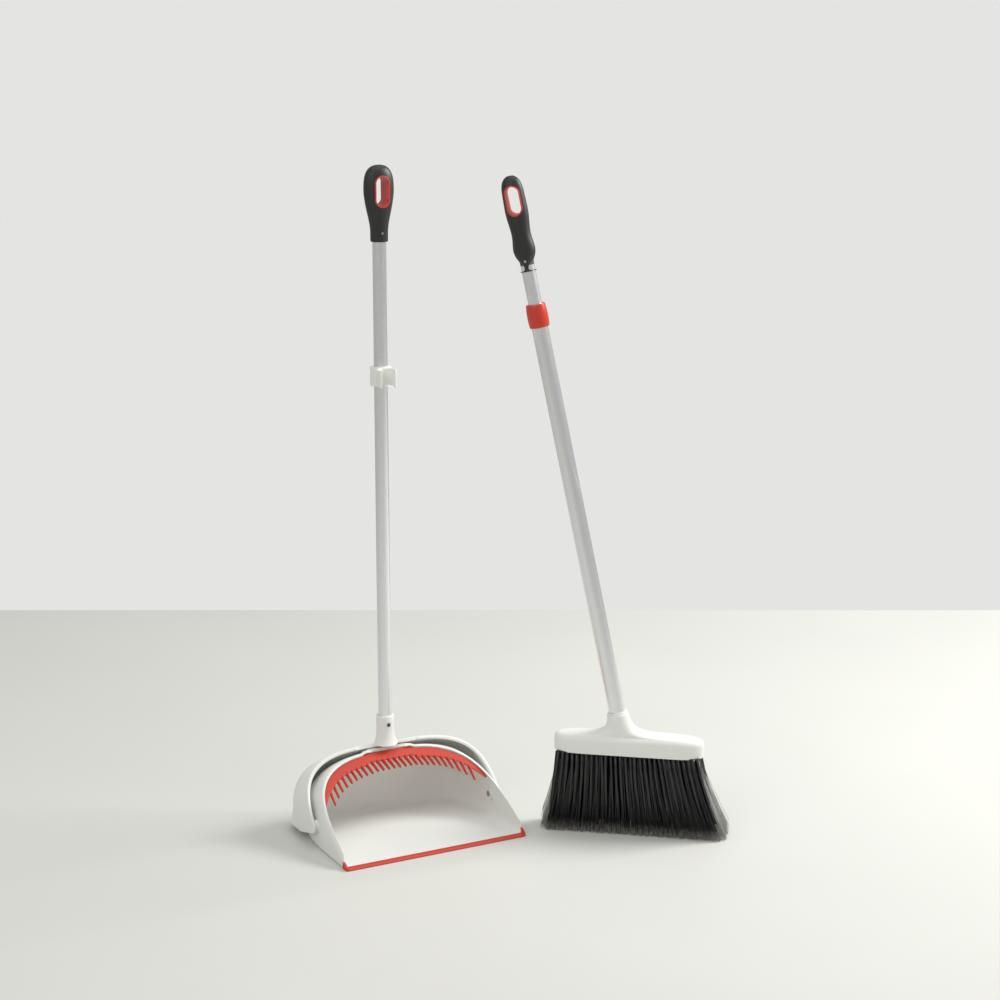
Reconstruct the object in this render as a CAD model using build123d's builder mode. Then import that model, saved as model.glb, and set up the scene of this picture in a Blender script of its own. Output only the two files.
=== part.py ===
"""Upright dustpan with a long handle, and the telescopic broom that stands beside it.

Millimetres, +Z up. The origin is on the floor, on the axis of the dustpan's handle; the mouth of
the pan faces -Y. The broom stands to the right and in front, turned and leaning in its own plane.
"""
from build123d import *
from math import cos, pi, radians, sin, sqrt, tan
import os

os.makedirs("parts", exist_ok=True)

# ---- pan -----------------------------------------------------------------------------------
PIVOT_Y = -70.0            # the pan swings about an axis along X through this point
PIVOT_Z = 32.0
LIP_Y = -179.0             # front edge of the lip
PAN_HALF_WIDTH = 146.0
PAN_ARCH_HEIGHT = 108.0
PAN_ARCH_POWERS = (3.0, 3.5)
PAN_BACK_RADIUS = 99.4     # back wall, about the pivot
PAN_WALL = 2.6
PAN_CORNER = 54.0
MOUTH_ANGLE = 32.0         # slope of the mouth plane, from the lip upwards
LIP_DEPTH = 8.0
LIP_HEIGHT = 4.2
LIP_POST_DEPTH = 15.0
LIP_POST_WIDTH = 3.6
TAB_HALF_WIDTH = 43.0
TAB_HEIGHT = 2.6
HEEL_HALF_WIDTH = 45.0
HEEL_FRONT_Y = 25.2
HEEL_DEPTH = 8.4

# ---- comb ----------------------------------------------------------------------------------
COMB_THICKNESS = 2.8
COMB_SETBACK = 0.8         # behind the mouth plane
COMB_LOWEST_Z = 66.0
COMB_HALF_WIDTH = 139.0    # of the band's inner edge
COMB_ARCH_HEIGHT = 96.0
TOOTH_COUNT = 26
TOOTH_PITCH = 9.2
TOOTH_THICKNESS = 3.0
TOOTH_LENGTH = 24.0
TOOTH_ROOT_HEIGHT = 7.0
TOOTH_TIP_HEIGHT = 4.6
TOOTH_BACKSET = 4.0
TOOTH_DROOP = 14.0
TOOTH_END_DROOP = 42.0     # more at the ends of the arch
TOOTH_BITE = 1.5           # how far a tooth's root stands in the band

# ---- hood ----------------------------------------------------------------------------------
HOOD_BACK_RADIUS = 108.5
HOOD_WALL = 4.4
HOOD_HALF_WIDTH = 154.6
HOOD_ARCH_HEIGHT = 118.6
HOOD_ARCH_POWERS = (3.4, 4.4)
HOOD_CORNER = 46.0
HOOD_BOTTOM_Z = 12.0
HOOD_MOUTH_ANGLE = 47.5
HOOD_ARM_RADIUS = 9.36     # round end of each arm, about the pivot
HOOD_ARM_SLOPE = 15.0
BOSS_RADIUS = 9.0
PIN_RADIUS = 3.0
PIN_HEAD_RADIUS = 4.6
RUNNING_GAP = 0.06

# ---- dustpan handle ------------------------------------------------------------------------
TUBE_RADIUS = 10.0
TUBE_WALL = 1.0
SOCKET_TOP_Z = 160.0
SOCKET_FLOOR_Z = 119.0
SOCKET_FOOT_Z = 114.6
SOCKET_RADIUS = 13.3
SOCKET_FLARE_RADIUS = 17.5
HANDLE_TUBE_TOP_Z = 915.0
BUTTON_Z = 147.0
BUTTON_RADIUS = 3.0
BUTTON_TRAVEL = 2.5
CLIP_BOTTOM_Z = 664.0
CLIP_HEIGHT = 28.0
CLIP_SLEEVE_RADIUS = 15.5
CLIP_TURN = 8.0
JAW_DISTANCE = 28.6
JAW_RADIUS = 11.9
JAW_WALL = 2.4
JAW_HALF_OPENING = 48.0
GRIP_BOTTOM_Z = 874.0
GRIP_COVER = 2.6
HANG_HOLE_Z = 946.0
HANG_RING_SIZE = (46.0, 23.6)
HANG_RING_WALL = 2.0

# ---- broom ---------------------------------------------------------------------------------
BROOM_X = 210.4            # middle plane of the broom head, at the left end of its underside
BROOM_Y = -159.1
BROOM_TURN = -38.55
POLE_LEAN = 11.7
BLOCK_LEFT = -6.0
BLOCK_LENGTH = 223.7
BLOCK_DEPTH = 44.0
BLOCK_BOTTOM_Z = 122.0
BLOCK_HEIGHT = 28.0
NECK_X = 88.2              # where the pole's axis leaves the neck
NECK_Z = 182.0
NECK_RADIUS = 16.3
POLE_RADIUS = 12.0
INNER_POLE_RADIUS = 10.0
POLE_TOP = 612.0           # distances along the pole, from the top of the neck
COLLAR_BOTTOM = 586.0
COLLAR_LENGTH = 34.0
COLLAR_RADIUS = 15.2
INNER_POLE_BOTTOM = 150.0
BROOM_GRIP_BOTTOM = 668.0
BROOM_GRIP_LENGTH = 137.0
BROOM_RING_CENTRE = 770.0
BROOM_RING_SIZE = (44.0, 23.0)
ROW_COUNT = 5
ROW_PITCH = 8.4
ROW_THICKNESS = 2.4
BRISTLE_TOP_Z = 122.0
ROW_TOP_SPAN = (4.0, 208.0)
ROW_FOOT_SPAN = (-15.0, 246.0)
ROW_FOOT_SPREAD = 1.35
CLEAR_TUFT_WIDTH = 11.0


REACH = 400.0              # longer than any feature, for cuts that run right through


# ---- shared shapes -------------------------------------------------------------------------
def arch_points(half_width, height, powers):
    """Points of a superellipse arch, from its right foot over the top to its left foot."""
    steps = 16
    points = []
    for step in range(steps + 1):
        angle = pi * step / steps
        across = abs(cos(angle)) ** (2 / powers[0])
        up = abs(sin(angle)) ** (2 / powers[1])
        side = 1 if cos(angle) >= 0 else -1
        points.append((side * half_width * across, height * up))
    return points


def arch_height_at(x, half_width, height, powers):
    """Height of the superellipse arch at a distance x from the middle."""
    return height * (1 - (abs(x) / half_width) ** powers[0]) ** (1 / powers[1])


def about_pivot(radius, angle):
    """Point of the YZ plane at a radius and an angle (0 = backwards, 90 = up) from the pivot."""
    return (PIVOT_Y + radius * cos(radians(angle)), PIVOT_Z + radius * sin(radians(angle)))


def angle_at_height(radius, z):
    """Angle at which the circle of that radius about the pivot passes the height z, at the back."""
    reach = sqrt(radius**2 - (z - PIVOT_Z) ** 2)
    return Vector(reach, z - PIVOT_Z, 0).get_signed_angle(Vector(1, 0, 0), Vector(0, 0, -1))


def front_outline(half_width, height, powers):
    """Region under the arch, as seen from the front."""
    with BuildSketch(Plane.XZ) as front:
        with BuildLine():
            outline = Spline(*arch_points(half_width, height, powers), tangents=((0, 1), (0, -1)))
            Polyline(outline @ 1, (-half_width, -REACH), (half_width, -REACH), outline @ 0)
        make_face()
    return front.sketch


def plan_outline(half_width, corner, back_y):
    """Region inside the sides and the rounded back corners, as seen from above."""
    with BuildSketch(Plane.XY) as plan:
        with Locations((0, back_y - REACH / 2)):
            sides = Rectangle(2 * half_width, REACH)
        fillet(sides.vertices().group_by(Axis.Y)[-1], corner)
    return plan.sketch


def scoop_outside():
    """The pan's outer form: flat floor, round back, sloping mouth."""
    top = about_pivot(PAN_BACK_RADIUS, 49.95)
    with BuildPart() as body:
        with BuildSketch(Plane.YZ):
            with BuildLine():
                heel = about_pivot(PAN_BACK_RADIUS, angle_at_height(PAN_BACK_RADIUS, 0))
                Polyline(top, (LIP_Y, 0), heel)
                ThreePointArc(heel, about_pivot(PAN_BACK_RADIUS, 10), top)
            make_face()
        extrude(amount=PAN_HALF_WIDTH, both=True)
        extrude(front_outline(PAN_HALF_WIDTH, PAN_ARCH_HEIGHT, PAN_ARCH_POWERS), amount=REACH,
                both=True, mode=Mode.INTERSECT)
        extrude(plan_outline(PAN_HALF_WIDTH, PAN_CORNER, PIVOT_Y + PAN_BACK_RADIUS), amount=REACH,
                mode=Mode.INTERSECT)
    return body.part


def scoop_inside(inset):
    """The pan's hollow, taken in by an inset and left open towards the front and the top."""
    radius = PAN_BACK_RADIUS - inset
    half_width = PAN_HALF_WIDTH - inset
    with BuildPart() as body:
        with BuildSketch(Plane.YZ):
            with BuildLine():
                heel = about_pivot(radius, angle_at_height(radius, inset))
                crown = about_pivot(radius, 80)
                Polyline(crown, (LIP_Y - 20, crown[1]), (LIP_Y - 20, inset), heel)
                ThreePointArc(heel, about_pivot(radius, 20), crown)
            make_face()
        extrude(amount=half_width, both=True)
        extrude(front_outline(half_width, PAN_ARCH_HEIGHT - inset, PAN_ARCH_POWERS), amount=REACH,
                both=True, mode=Mode.INTERSECT)
        extrude(plan_outline(half_width, PAN_CORNER - inset, PIVOT_Y + radius), amount=REACH,
                mode=Mode.INTERSECT)
    return body.part


def swing_slab(inner_radius, outer_radius, start, stop, half_width):
    """A block between two radii and two angles about the pivot, centred on the middle plane."""
    with BuildPart() as body:
        with BuildSketch(Plane.YZ):
            with BuildLine():
                inner = ThreePointArc(about_pivot(inner_radius, start),
                                      about_pivot(inner_radius, (start + stop) / 2),
                                      about_pivot(inner_radius, stop))
                outer = ThreePointArc(about_pivot(outer_radius, start),
                                      about_pivot(outer_radius, (start + stop) / 2),
                                      about_pivot(outer_radius, stop))
                Line(inner @ 0, outer @ 0)
                Line(inner @ 1, outer @ 1)
            make_face()
        extrude(amount=half_width, both=True)
    return body.part


def grip_form(sections, inset, base):
    """Lofted grip: each section is (distance, width, depth), taken in by an inset."""
    with BuildPart() as body:
        for distance, width, depth in sections:
            with BuildSketch(base.offset(distance)):
                Ellipse(width / 2 - inset, depth / 2 - inset)
        loft()
    return body.part


def slot_bar(base, size, half_length, inset=0.0):
    """A straight bar of slot section through a grip, standing on end, along the base's normal."""
    with BuildPart() as body:
        with BuildSketch(base):
            SlotOverall(size[0] - 2 * inset, size[1] - 2 * inset, rotation=90)
        extrude(amount=half_length, both=True)
    return body.part


# ---- pan body ------------------------------------------------------------------------------
with BuildPart() as pan_scoop:
    add(scoop_outside())
    add(swing_slab(PAN_BACK_RADIUS - 1.5, PAN_BACK_RADIUS + TAB_HEIGHT, 44.5, 49.8, TAB_HALF_WIDTH))
    add(scoop_inside(PAN_WALL), mode=Mode.SUBTRACT)
    # heel under the hood's back edge, which rests on it
    with BuildSketch(Plane.XY.offset(2.0)):
        with Locations((0, HEEL_FRONT_Y)):
            Rectangle(2 * HEEL_HALF_WIDTH, HEEL_DEPTH, align=(Align.CENTER, Align.MIN))
    extrude(amount=HOOD_BOTTOM_Z - 2.0 - 0.4)
    # pivot bosses
    for side in (-1, 1):
        boss_plane = Plane(origin=(side * 142.0, PIVOT_Y, PIVOT_Z), z_dir=(side, 0, 0))
        with BuildSketch(boss_plane):
            Circle(BOSS_RADIUS)
        extrude(amount=7.4)
        with BuildSketch(boss_plane.offset(-10)):
            Circle(PIN_RADIUS + RUNNING_GAP)
        extrude(amount=30, mode=Mode.SUBTRACT)
    # room for the lip strip
    with BuildSketch(Plane.XY.offset(-1)):
        with Locations((0, LIP_Y)):
            Rectangle(400, 2 * LIP_DEPTH)
        for side in (-1, 1):
            with Locations((side * (PAN_HALF_WIDTH + 2), LIP_Y)):
                Rectangle(2 * (LIP_POST_WIDTH + 2), 2 * LIP_POST_DEPTH)
    extrude(amount=60, mode=Mode.SUBTRACT)
pan_scoop.part.label = "pan_scoop"
export_step(pan_scoop.part, "parts/pan_scoop.step")

with BuildPart() as lip_strip:
    with BuildSketch(Plane.YZ):
        with BuildLine():
            Polyline((LIP_Y, 0), (LIP_Y + LIP_DEPTH, 0), (LIP_Y + LIP_DEPTH, LIP_HEIGHT),
                     (LIP_Y + 2.5, LIP_HEIGHT - 0.6), (LIP_Y, 1.6), close=True)
        make_face()
    extrude(amount=PAN_HALF_WIDTH, both=True)
    for side in (-1, 1):
        outer_plane = Plane(origin=(side * PAN_HALF_WIDTH, 0, 0), x_dir=(0, 1, 0), z_dir=(1, 0, 0))
        with BuildSketch(outer_plane):
            with BuildLine():
                Polyline((LIP_Y, 0), (LIP_Y + LIP_POST_DEPTH, 0), (LIP_Y + LIP_POST_DEPTH, 10.6),
                         (LIP_Y + 2.5, 4.6), (LIP_Y, 1.6), close=True)
            make_face()
        extrude(amount=-side * LIP_POST_WIDTH)
    with BuildSketch(Plane.XY):
        with Locations((0, LIP_Y + REACH / 2)):
            lip_plan = Rectangle(2 * PAN_HALF_WIDTH, REACH)
        fillet(lip_plan.vertices().group_by(Axis.Y)[0], 5.0)
    extrude(amount=40, mode=Mode.INTERSECT)
lip_strip.part.label = "lip_strip"
export_step(lip_strip.part, "parts/lip_strip.step")

mouth_plane = Plane(origin=(0, LIP_Y, 0), x_dir=(1, 0, 0),
                    z_dir=(0, -sin(radians(MOUTH_ANGLE)), cos(radians(MOUTH_ANGLE))))
with BuildPart() as comb_band:
    add(scoop_inside(PAN_WALL))
    with BuildSketch(mouth_plane.offset(-COMB_SETBACK)):
        Rectangle(600, 600)
    extrude(amount=-COMB_THICKNESS, mode=Mode.INTERSECT)
    extrude(front_outline(COMB_HALF_WIDTH, COMB_ARCH_HEIGHT, PAN_ARCH_POWERS), amount=REACH, both=True,
            mode=Mode.SUBTRACT)
    split(bisect_by=Plane.XY.offset(COMB_LOWEST_Z), keep=Keep.TOP)
comb_band.part.label = "comb_band"
export_step(comb_band.part, "parts/comb_band.step")


def tooth_root(x):
    """Place in the YZ plane where the tooth at x leaves the band, and its droop in degrees."""
    edge_z = arch_height_at(x, COMB_HALF_WIDTH, COMB_ARCH_HEIGHT, PAN_ARCH_POWERS)
    edge_y = LIP_Y + edge_z / tan(radians(MOUTH_ANGLE))
    droop = TOOTH_DROOP + TOOTH_END_DROOP * (abs(x) / COMB_HALF_WIDTH) ** 3
    return edge_y + TOOTH_BACKSET, edge_z - TOOTH_ROOT_HEIGHT / 2 + TOOTH_BITE, droop


with BuildPart() as comb_teeth:
    for index in range(TOOTH_COUNT):
        tooth_x = (index - (TOOTH_COUNT - 1) / 2) * TOOTH_PITCH
        root_y, root_z, droop = tooth_root(tooth_x)
        tooth_plane = Plane(origin=(tooth_x, root_y, root_z), x_dir=(0, -cos(radians(droop)),
                            -sin(radians(droop))), z_dir=(1, 0, 0))
        with BuildSketch(tooth_plane):
            with BuildLine():
                half_root = TOOTH_ROOT_HEIGHT / 2
                half_tip = TOOTH_TIP_HEIGHT / 2
                straight = TOOTH_LENGTH - half_tip
                Polyline((straight, -half_tip), (0, -half_root), (0, half_root), (straight, half_tip))
                ThreePointArc((straight, half_tip), (TOOTH_LENGTH, 0), (straight, -half_tip))
            make_face()
        extrude(amount=TOOTH_THICKNESS / 2, both=True)
comb_teeth.part.label = "comb_teeth"
export_step(comb_teeth.part, "parts/comb_teeth.step")

# ---- hood body -----------------------------------------------------------------------------
hood_top_angle = 52.45
arm_top = about_pivot(HOOD_ARM_RADIUS, 90 + HOOD_MOUTH_ANGLE)
arm_bottom = about_pivot(HOOD_ARM_RADIUS, 270 - HOOD_ARM_SLOPE)
arm_run = (arm_bottom[1] - HOOD_BOTTOM_Z) / tan(radians(HOOD_ARM_SLOPE))
with BuildPart() as hood_hollow:
    with BuildSketch(Plane.YZ):
        with BuildLine():
            radius = HOOD_BACK_RADIUS - HOOD_WALL
            bottom = about_pivot(radius, -35)
            crown = about_pivot(radius, 80)
            Polyline(crown, (LIP_Y - 20, crown[1]), (LIP_Y - 20, bottom[1]), bottom)
            ThreePointArc(bottom, about_pivot(radius, 20), crown)
        make_face()
    extrude(amount=HOOD_HALF_WIDTH - HOOD_WALL, both=True)
    extrude(front_outline(HOOD_HALF_WIDTH - HOOD_WALL, HOOD_ARCH_HEIGHT - HOOD_WALL, HOOD_ARCH_POWERS),
            amount=REACH, both=True, mode=Mode.INTERSECT)
    extrude(plan_outline(HOOD_HALF_WIDTH - HOOD_WALL, HOOD_CORNER - HOOD_WALL,
                         PIVOT_Y + HOOD_BACK_RADIUS - HOOD_WALL),
            amount=REACH, both=True, mode=Mode.INTERSECT)

with BuildPart() as hood_shell:
    with BuildSketch(Plane.YZ):
        with BuildLine():
            rear = about_pivot(HOOD_BACK_RADIUS, angle_at_height(HOOD_BACK_RADIUS, HOOD_BOTTOM_Z))
            top = about_pivot(HOOD_BACK_RADIUS, hood_top_angle)
            ThreePointArc(rear, about_pivot(HOOD_BACK_RADIUS, 20), top)
            Line(top, arm_top)
            ThreePointArc(arm_top, about_pivot(HOOD_ARM_RADIUS, 190), arm_bottom)
            Polyline(arm_bottom, (arm_bottom[0] + arm_run, HOOD_BOTTOM_Z), rear)
        make_face()
    extrude(amount=HOOD_HALF_WIDTH, both=True)
    extrude(front_outline(HOOD_HALF_WIDTH, HOOD_ARCH_HEIGHT, HOOD_ARCH_POWERS), amount=REACH,
            both=True, mode=Mode.INTERSECT)
    extrude(plan_outline(HOOD_HALF_WIDTH, HOOD_CORNER, PIVOT_Y + HOOD_BACK_RADIUS), amount=REACH,
            mode=Mode.INTERSECT)
    add(hood_hollow.part, mode=Mode.SUBTRACT)
    # socket for the handle
    with BuildSketch(Plane.XZ):
        with BuildLine():
            Polyline((0, SOCKET_FOOT_Z), (SOCKET_FLARE_RADIUS, SOCKET_FOOT_Z), (14.6, 128),
                     (SOCKET_RADIUS, 142), (SOCKET_RADIUS, SOCKET_TOP_Z), (0, SOCKET_TOP_Z), close=True)
        make_face()
    revolve(axis=Axis.Z)
    with BuildSketch(Plane.XY.offset(SOCKET_FLOOR_Z)):
        Circle(TUBE_RADIUS)
    extrude(amount=60, mode=Mode.SUBTRACT)
    # hole for the snap button
    with BuildSketch(Plane(origin=(0, 0, BUTTON_Z), z_dir=(0, -1, 0))):
        Circle(BUTTON_RADIUS + RUNNING_GAP)
    extrude(amount=40, mode=Mode.SUBTRACT)
    # holes for the pivot pins
    with BuildSketch(Plane(origin=(-200, PIVOT_Y, PIVOT_Z), z_dir=(1, 0, 0))):
        Circle(PIN_RADIUS)
    extrude(amount=400, mode=Mode.SUBTRACT)
    # ledge inside the back wall that ends the pan's swing
    add(swing_slab(PAN_BACK_RADIUS + 0.9, HOOD_BACK_RADIUS - 1.0, 0.4, 3.0, 30.0))
hood_shell.part.label = "hood_shell"
export_step(hood_shell.part, "parts/hood_shell.step")

with BuildPart() as pivot_pins:
    for side in (-1, 1):
        with BuildSketch(Plane(origin=(side * 139.6, PIVOT_Y, PIVOT_Z), z_dir=(side, 0, 0))):
            Circle(PIN_RADIUS)
        extrude(amount=HOOD_HALF_WIDTH - 139.6 - 1.0)
        with BuildSketch(Plane(origin=(side * 138.2, PIVOT_Y, PIVOT_Z), z_dir=(side, 0, 0))):
            Circle(PIN_HEAD_RADIUS)
        extrude(amount=2.2)
pivot_pins.part.label = "pivot_pins"
export_step(pivot_pins.part, "parts/pivot_pins.step")

with BuildPart() as dustpan_tube:
    with BuildSketch(Plane.XY.offset(SOCKET_FLOOR_Z)):
        Circle(TUBE_RADIUS)
        Circle(TUBE_RADIUS - TUBE_WALL, mode=Mode.SUBTRACT)
    extrude(amount=HANDLE_TUBE_TOP_Z - SOCKET_FLOOR_Z)
    with BuildSketch(Plane(origin=(0, 0, BUTTON_Z), z_dir=(0, -1, 0))):
        Circle(BUTTON_RADIUS + RUNNING_GAP)
    extrude(amount=20, mode=Mode.SUBTRACT)
dustpan_tube.part.label = "dustpan_tube"
export_step(dustpan_tube.part, "parts/dustpan_tube.step")

with BuildPart() as snap_button:
    with BuildSketch(Plane(origin=(0, -6.6, BUTTON_Z), z_dir=(0, -1, 0))):
        Circle(BUTTON_RADIUS)
    extrude(amount=SOCKET_RADIUS + 0.9 - 6.6)
    fillet(snap_button.edges().group_by(Axis.Y)[0], 0.9)
    with BuildSketch(Plane(origin=(0, -6.2, BUTTON_Z), z_dir=(0, -1, 0))):
        Circle(BUTTON_RADIUS + 1.2)
    extrude(amount=1.2)
snap_button.part.label = "snap_button"
export_step(snap_button.part, "parts/snap_button.step")

with BuildPart() as button_spring:
    with BuildSketch(Plane.YZ):
        with BuildLine():
            Polyline((-3.2, BUTTON_Z + 8), (-3.2, BUTTON_Z - 4), (2.4, BUTTON_Z - 20),
                     (7.2, BUTTON_Z - 4), (7.2, BUTTON_Z + 8))
        trace(line_width=0.8)
    extrude(amount=3.0, both=True)
button_spring.part.label = "button_spring"
export_step(button_spring.part, "parts/button_spring.step")

jaw_side = 40 * sin(radians(JAW_HALF_OPENING))
jaw_front = 40 * cos(radians(JAW_HALF_OPENING))
with BuildPart() as broom_clip:
    clip_plane = Plane(origin=(0, 0, CLIP_BOTTOM_Z), x_dir=Vector(1, 0, 0).rotate(Axis.Z, -CLIP_TURN),
                       z_dir=(0, 0, 1))
    with BuildSketch(clip_plane):
        Circle(CLIP_SLEEVE_RADIUS)
    extrude(amount=CLIP_HEIGHT)
    with BuildSketch(clip_plane.offset(3.0)):
        with Locations((0, -JAW_DISTANCE)):
            Circle(JAW_RADIUS + JAW_WALL)
    extrude(amount=CLIP_HEIGHT - 3.0)
    with BuildSketch(clip_plane.offset(-1)):
        with Locations((0, -JAW_DISTANCE)):
            Circle(JAW_RADIUS)
            Polygon((0, 0), (-jaw_side, -jaw_front), (jaw_side, -jaw_front), align=None)
    extrude(amount=60, mode=Mode.SUBTRACT)
    with BuildSketch(clip_plane.offset(-1)):
        Circle(TUBE_RADIUS)
    extrude(amount=60, mode=Mode.SUBTRACT)
broom_clip.part.label = "broom_clip"
export_step(broom_clip.part, "parts/broom_clip.step")

# grip sections: height above the grip's foot, width, depth
GRIP_SECTIONS = (
    (0.0, 25.2, 25.0), (10.0, 25.8, 25.4), (22.0, 27.2, 26.4), (38.0, 33.8, 29.0),
    (56.0, 41.8, 30.6), (72.0, 45.8, 31.0), (86.0, 44.8, 30.0), (96.0, 40.6, 27.0),
    (103.0, 32.5, 22.0), (107.5, 20.0, 14.0), (109.0, 9.0, 7.0),
)
grip_base = Plane.XY.offset(GRIP_BOTTOM_Z)
hang_plane = Plane(origin=(0, 0, HANG_HOLE_Z), x_dir=(1, 0, 0), z_dir=(0, -1, 0))


def core_sections(sections):
    """The hard core stops short of both ends of the soft cover."""
    return [(max(distance - 2.5, 3.0) if distance > 5 else distance + 3.0, width, depth)
            for distance, width, depth in sections[:-1]]


grip_core_form = grip_form(core_sections(GRIP_SECTIONS), GRIP_COVER, grip_base)
with BuildPart() as dustpan_grip:
    add(grip_form(GRIP_SECTIONS, 0.0, grip_base))
    add(grip_core_form, mode=Mode.SUBTRACT)
    add(slot_bar(hang_plane, HANG_RING_SIZE, 40), mode=Mode.SUBTRACT)
    with BuildSketch(Plane.XY.offset(GRIP_BOTTOM_Z - 5)):
        Circle(TUBE_RADIUS)
    extrude(amount=20, mode=Mode.SUBTRACT)
    with BuildSketch(Plane(origin=(0, 0, GRIP_BOTTOM_Z + 12.5), z_dir=(0, -1, 0))):
        Circle(2.0)
    extrude(amount=40, mode=Mode.SUBTRACT)
dustpan_grip.part.label = "dustpan_grip"
export_step(dustpan_grip.part, "parts/dustpan_grip.step")

with BuildPart() as dustpan_grip_core:
    add(grip_core_form)
    add(slot_bar(hang_plane, HANG_RING_SIZE, 40), mode=Mode.SUBTRACT)
    with BuildSketch(Plane.XY.offset(GRIP_BOTTOM_Z - 5)):
        Circle(TUBE_RADIUS)
    extrude(amount=HANDLE_TUBE_TOP_Z - GRIP_BOTTOM_Z + 5, mode=Mode.SUBTRACT)
    with BuildSketch(Plane(origin=(0, 0, GRIP_BOTTOM_Z + 12.5), z_dir=(0, -1, 0))):
        Circle(2.0)
    extrude(amount=40, mode=Mode.SUBTRACT)
dustpan_grip_core.part.label = "dustpan_grip_core"
export_step(dustpan_grip_core.part, "parts/dustpan_grip_core.step")

with BuildPart() as dustpan_hang_ring:
    add(slot_bar(hang_plane, HANG_RING_SIZE, 40))
    add(grip_form(GRIP_SECTIONS, -0.5, grip_base), mode=Mode.INTERSECT)
    add(slot_bar(hang_plane, HANG_RING_SIZE, 40, HANG_RING_WALL), mode=Mode.SUBTRACT)
dustpan_hang_ring.part.label = "dustpan_hang_ring"
export_step(dustpan_hang_ring.part, "parts/dustpan_hang_ring.step")

with BuildPart() as dustpan_grip_pin:
    with BuildSketch(Plane(origin=(0, -TUBE_RADIUS, GRIP_BOTTOM_Z + 12.5), z_dir=(0, -1, 0))):
        Circle(2.0)
    extrude(amount=1.9)
dustpan_grip_pin.part.label = "dustpan_grip_pin"
export_step(dustpan_grip_pin.part, "parts/dustpan_grip_pin.step")

# ---- broom ---------------------------------------------------------------------------------
along = Vector(1, 0, 0).rotate(Axis.Z, BROOM_TURN)        # along the head, to its right end
forward = Vector(0, -1, 0).rotate(Axis.Z, BROOM_TURN)     # out of the head's front
up = Vector(0, 0, 1)
pole_way = (up * cos(radians(POLE_LEAN)) - along * sin(radians(POLE_LEAN))).normalized()
pole_side = (along * cos(radians(POLE_LEAN)) + up * sin(radians(POLE_LEAN))).normalized()


def head_point(x, z, front=0.0):
    """Point at x along the head, a height z, and a distance in front of its middle plane."""
    return Vector(BROOM_X, BROOM_Y, 0) + along * x + up * z + forward * front


def head_plane(z):
    """Level plane at a height z, with X along the head from the left end of its underside."""
    return Plane(origin=head_point(0, z), x_dir=along, z_dir=up)


def pole_plane(distance):
    """Plane square to the pole, at a distance along it from the top of the neck."""
    return Plane(origin=head_point(NECK_X, NECK_Z) + pole_way * distance, x_dir=pole_side,
                 z_dir=pole_way)


def ring_on_pole(start, length, outer, inner):
    """A straight ring round the pole's axis."""
    with BuildPart() as body:
        with BuildSketch(pole_plane(start)):
            Circle(outer)
            Circle(inner, mode=Mode.SUBTRACT)
        extrude(amount=length)
    return body.part


with BuildPart() as broom_block:
    with BuildSketch(head_plane(BLOCK_BOTTOM_Z)):
        with Locations((BLOCK_LEFT + BLOCK_LENGTH / 2, 0)):
            SlotOverall(BLOCK_LENGTH, BLOCK_DEPTH)
    extrude(amount=BLOCK_HEIGHT)
    fillet(broom_block.edges().group_by(Axis.Z)[-1], 9.0)
    with BuildSketch(head_plane(BLOCK_BOTTOM_Z + 20)):
        with Locations((NECK_X + 8, 0)):
            Ellipse(56, 19.5)
    with BuildSketch(head_plane(BLOCK_BOTTOM_Z + 36)):
        with Locations((NECK_X + 6, 0)):
            Ellipse(26, 17.5)
    with BuildSketch(pole_plane(0)):
        Circle(NECK_RADIUS)
    loft()
    with BuildSketch(pole_plane(-38)):
        Circle(POLE_RADIUS)
    extrude(amount=60, mode=Mode.SUBTRACT)
broom_block.part.label = "broom_block"
export_step(broom_block.part, "parts/broom_block.step")

for row in range(ROW_COUNT):
    row_name = f"tuft_row_{row + 1}"
    row_top = (row - (ROW_COUNT - 1) / 2) * ROW_PITCH
    row_foot = row_top * ROW_FOOT_SPREAD
    with BuildPart() as tuft_row:
        for height, span, front in ((0.0, ROW_FOOT_SPAN, row_foot), (BRISTLE_TOP_Z, ROW_TOP_SPAN, row_top)):
            with BuildSketch(head_plane(height)):
                with Locations(((span[0] + span[1]) / 2, -front)):
                    Rectangle(span[1] - span[0], ROW_THICKNESS)
        loft()
    tuft_row.part.label = row_name
    export_step(tuft_row.part, f"parts/{row_name}.step")

with BuildPart() as clear_tufts:
    for side, top_end, foot_end in ((-1, ROW_TOP_SPAN[0], ROW_FOOT_SPAN[0]), (1, ROW_TOP_SPAN[1], ROW_FOOT_SPAN[1])):
        for height, end, width in ((0.0, foot_end, CLEAR_TUFT_WIDTH), (BRISTLE_TOP_Z, top_end, 3.0)):
            with BuildSketch(head_plane(height)):
                with Locations((end + side * (0.4 + width / 2), 0)):
                    Rectangle(width, ROW_COUNT * ROW_PITCH)
        loft()
clear_tufts.part.label = "clear_tufts"
export_step(clear_tufts.part, "parts/clear_tufts.step")

with BuildPart() as neck_ring:
    add(ring_on_pole(0.0, 3.0, POLE_RADIUS + 2.4, POLE_RADIUS))
    fillet(neck_ring.edges().filter_by(GeomType.CIRCLE).sort_by(Axis.Z)[-2:], 0.8)
neck_ring.part.label = "neck_ring"
export_step(neck_ring.part, "parts/neck_ring.step")

with BuildPart() as broom_lower_tube:
    add(ring_on_pole(-38.0, POLE_TOP + 38.0, POLE_RADIUS, POLE_RADIUS - TUBE_WALL))
broom_lower_tube.part.label = "broom_lower_tube"
export_step(broom_lower_tube.part, "parts/broom_lower_tube.step")

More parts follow.
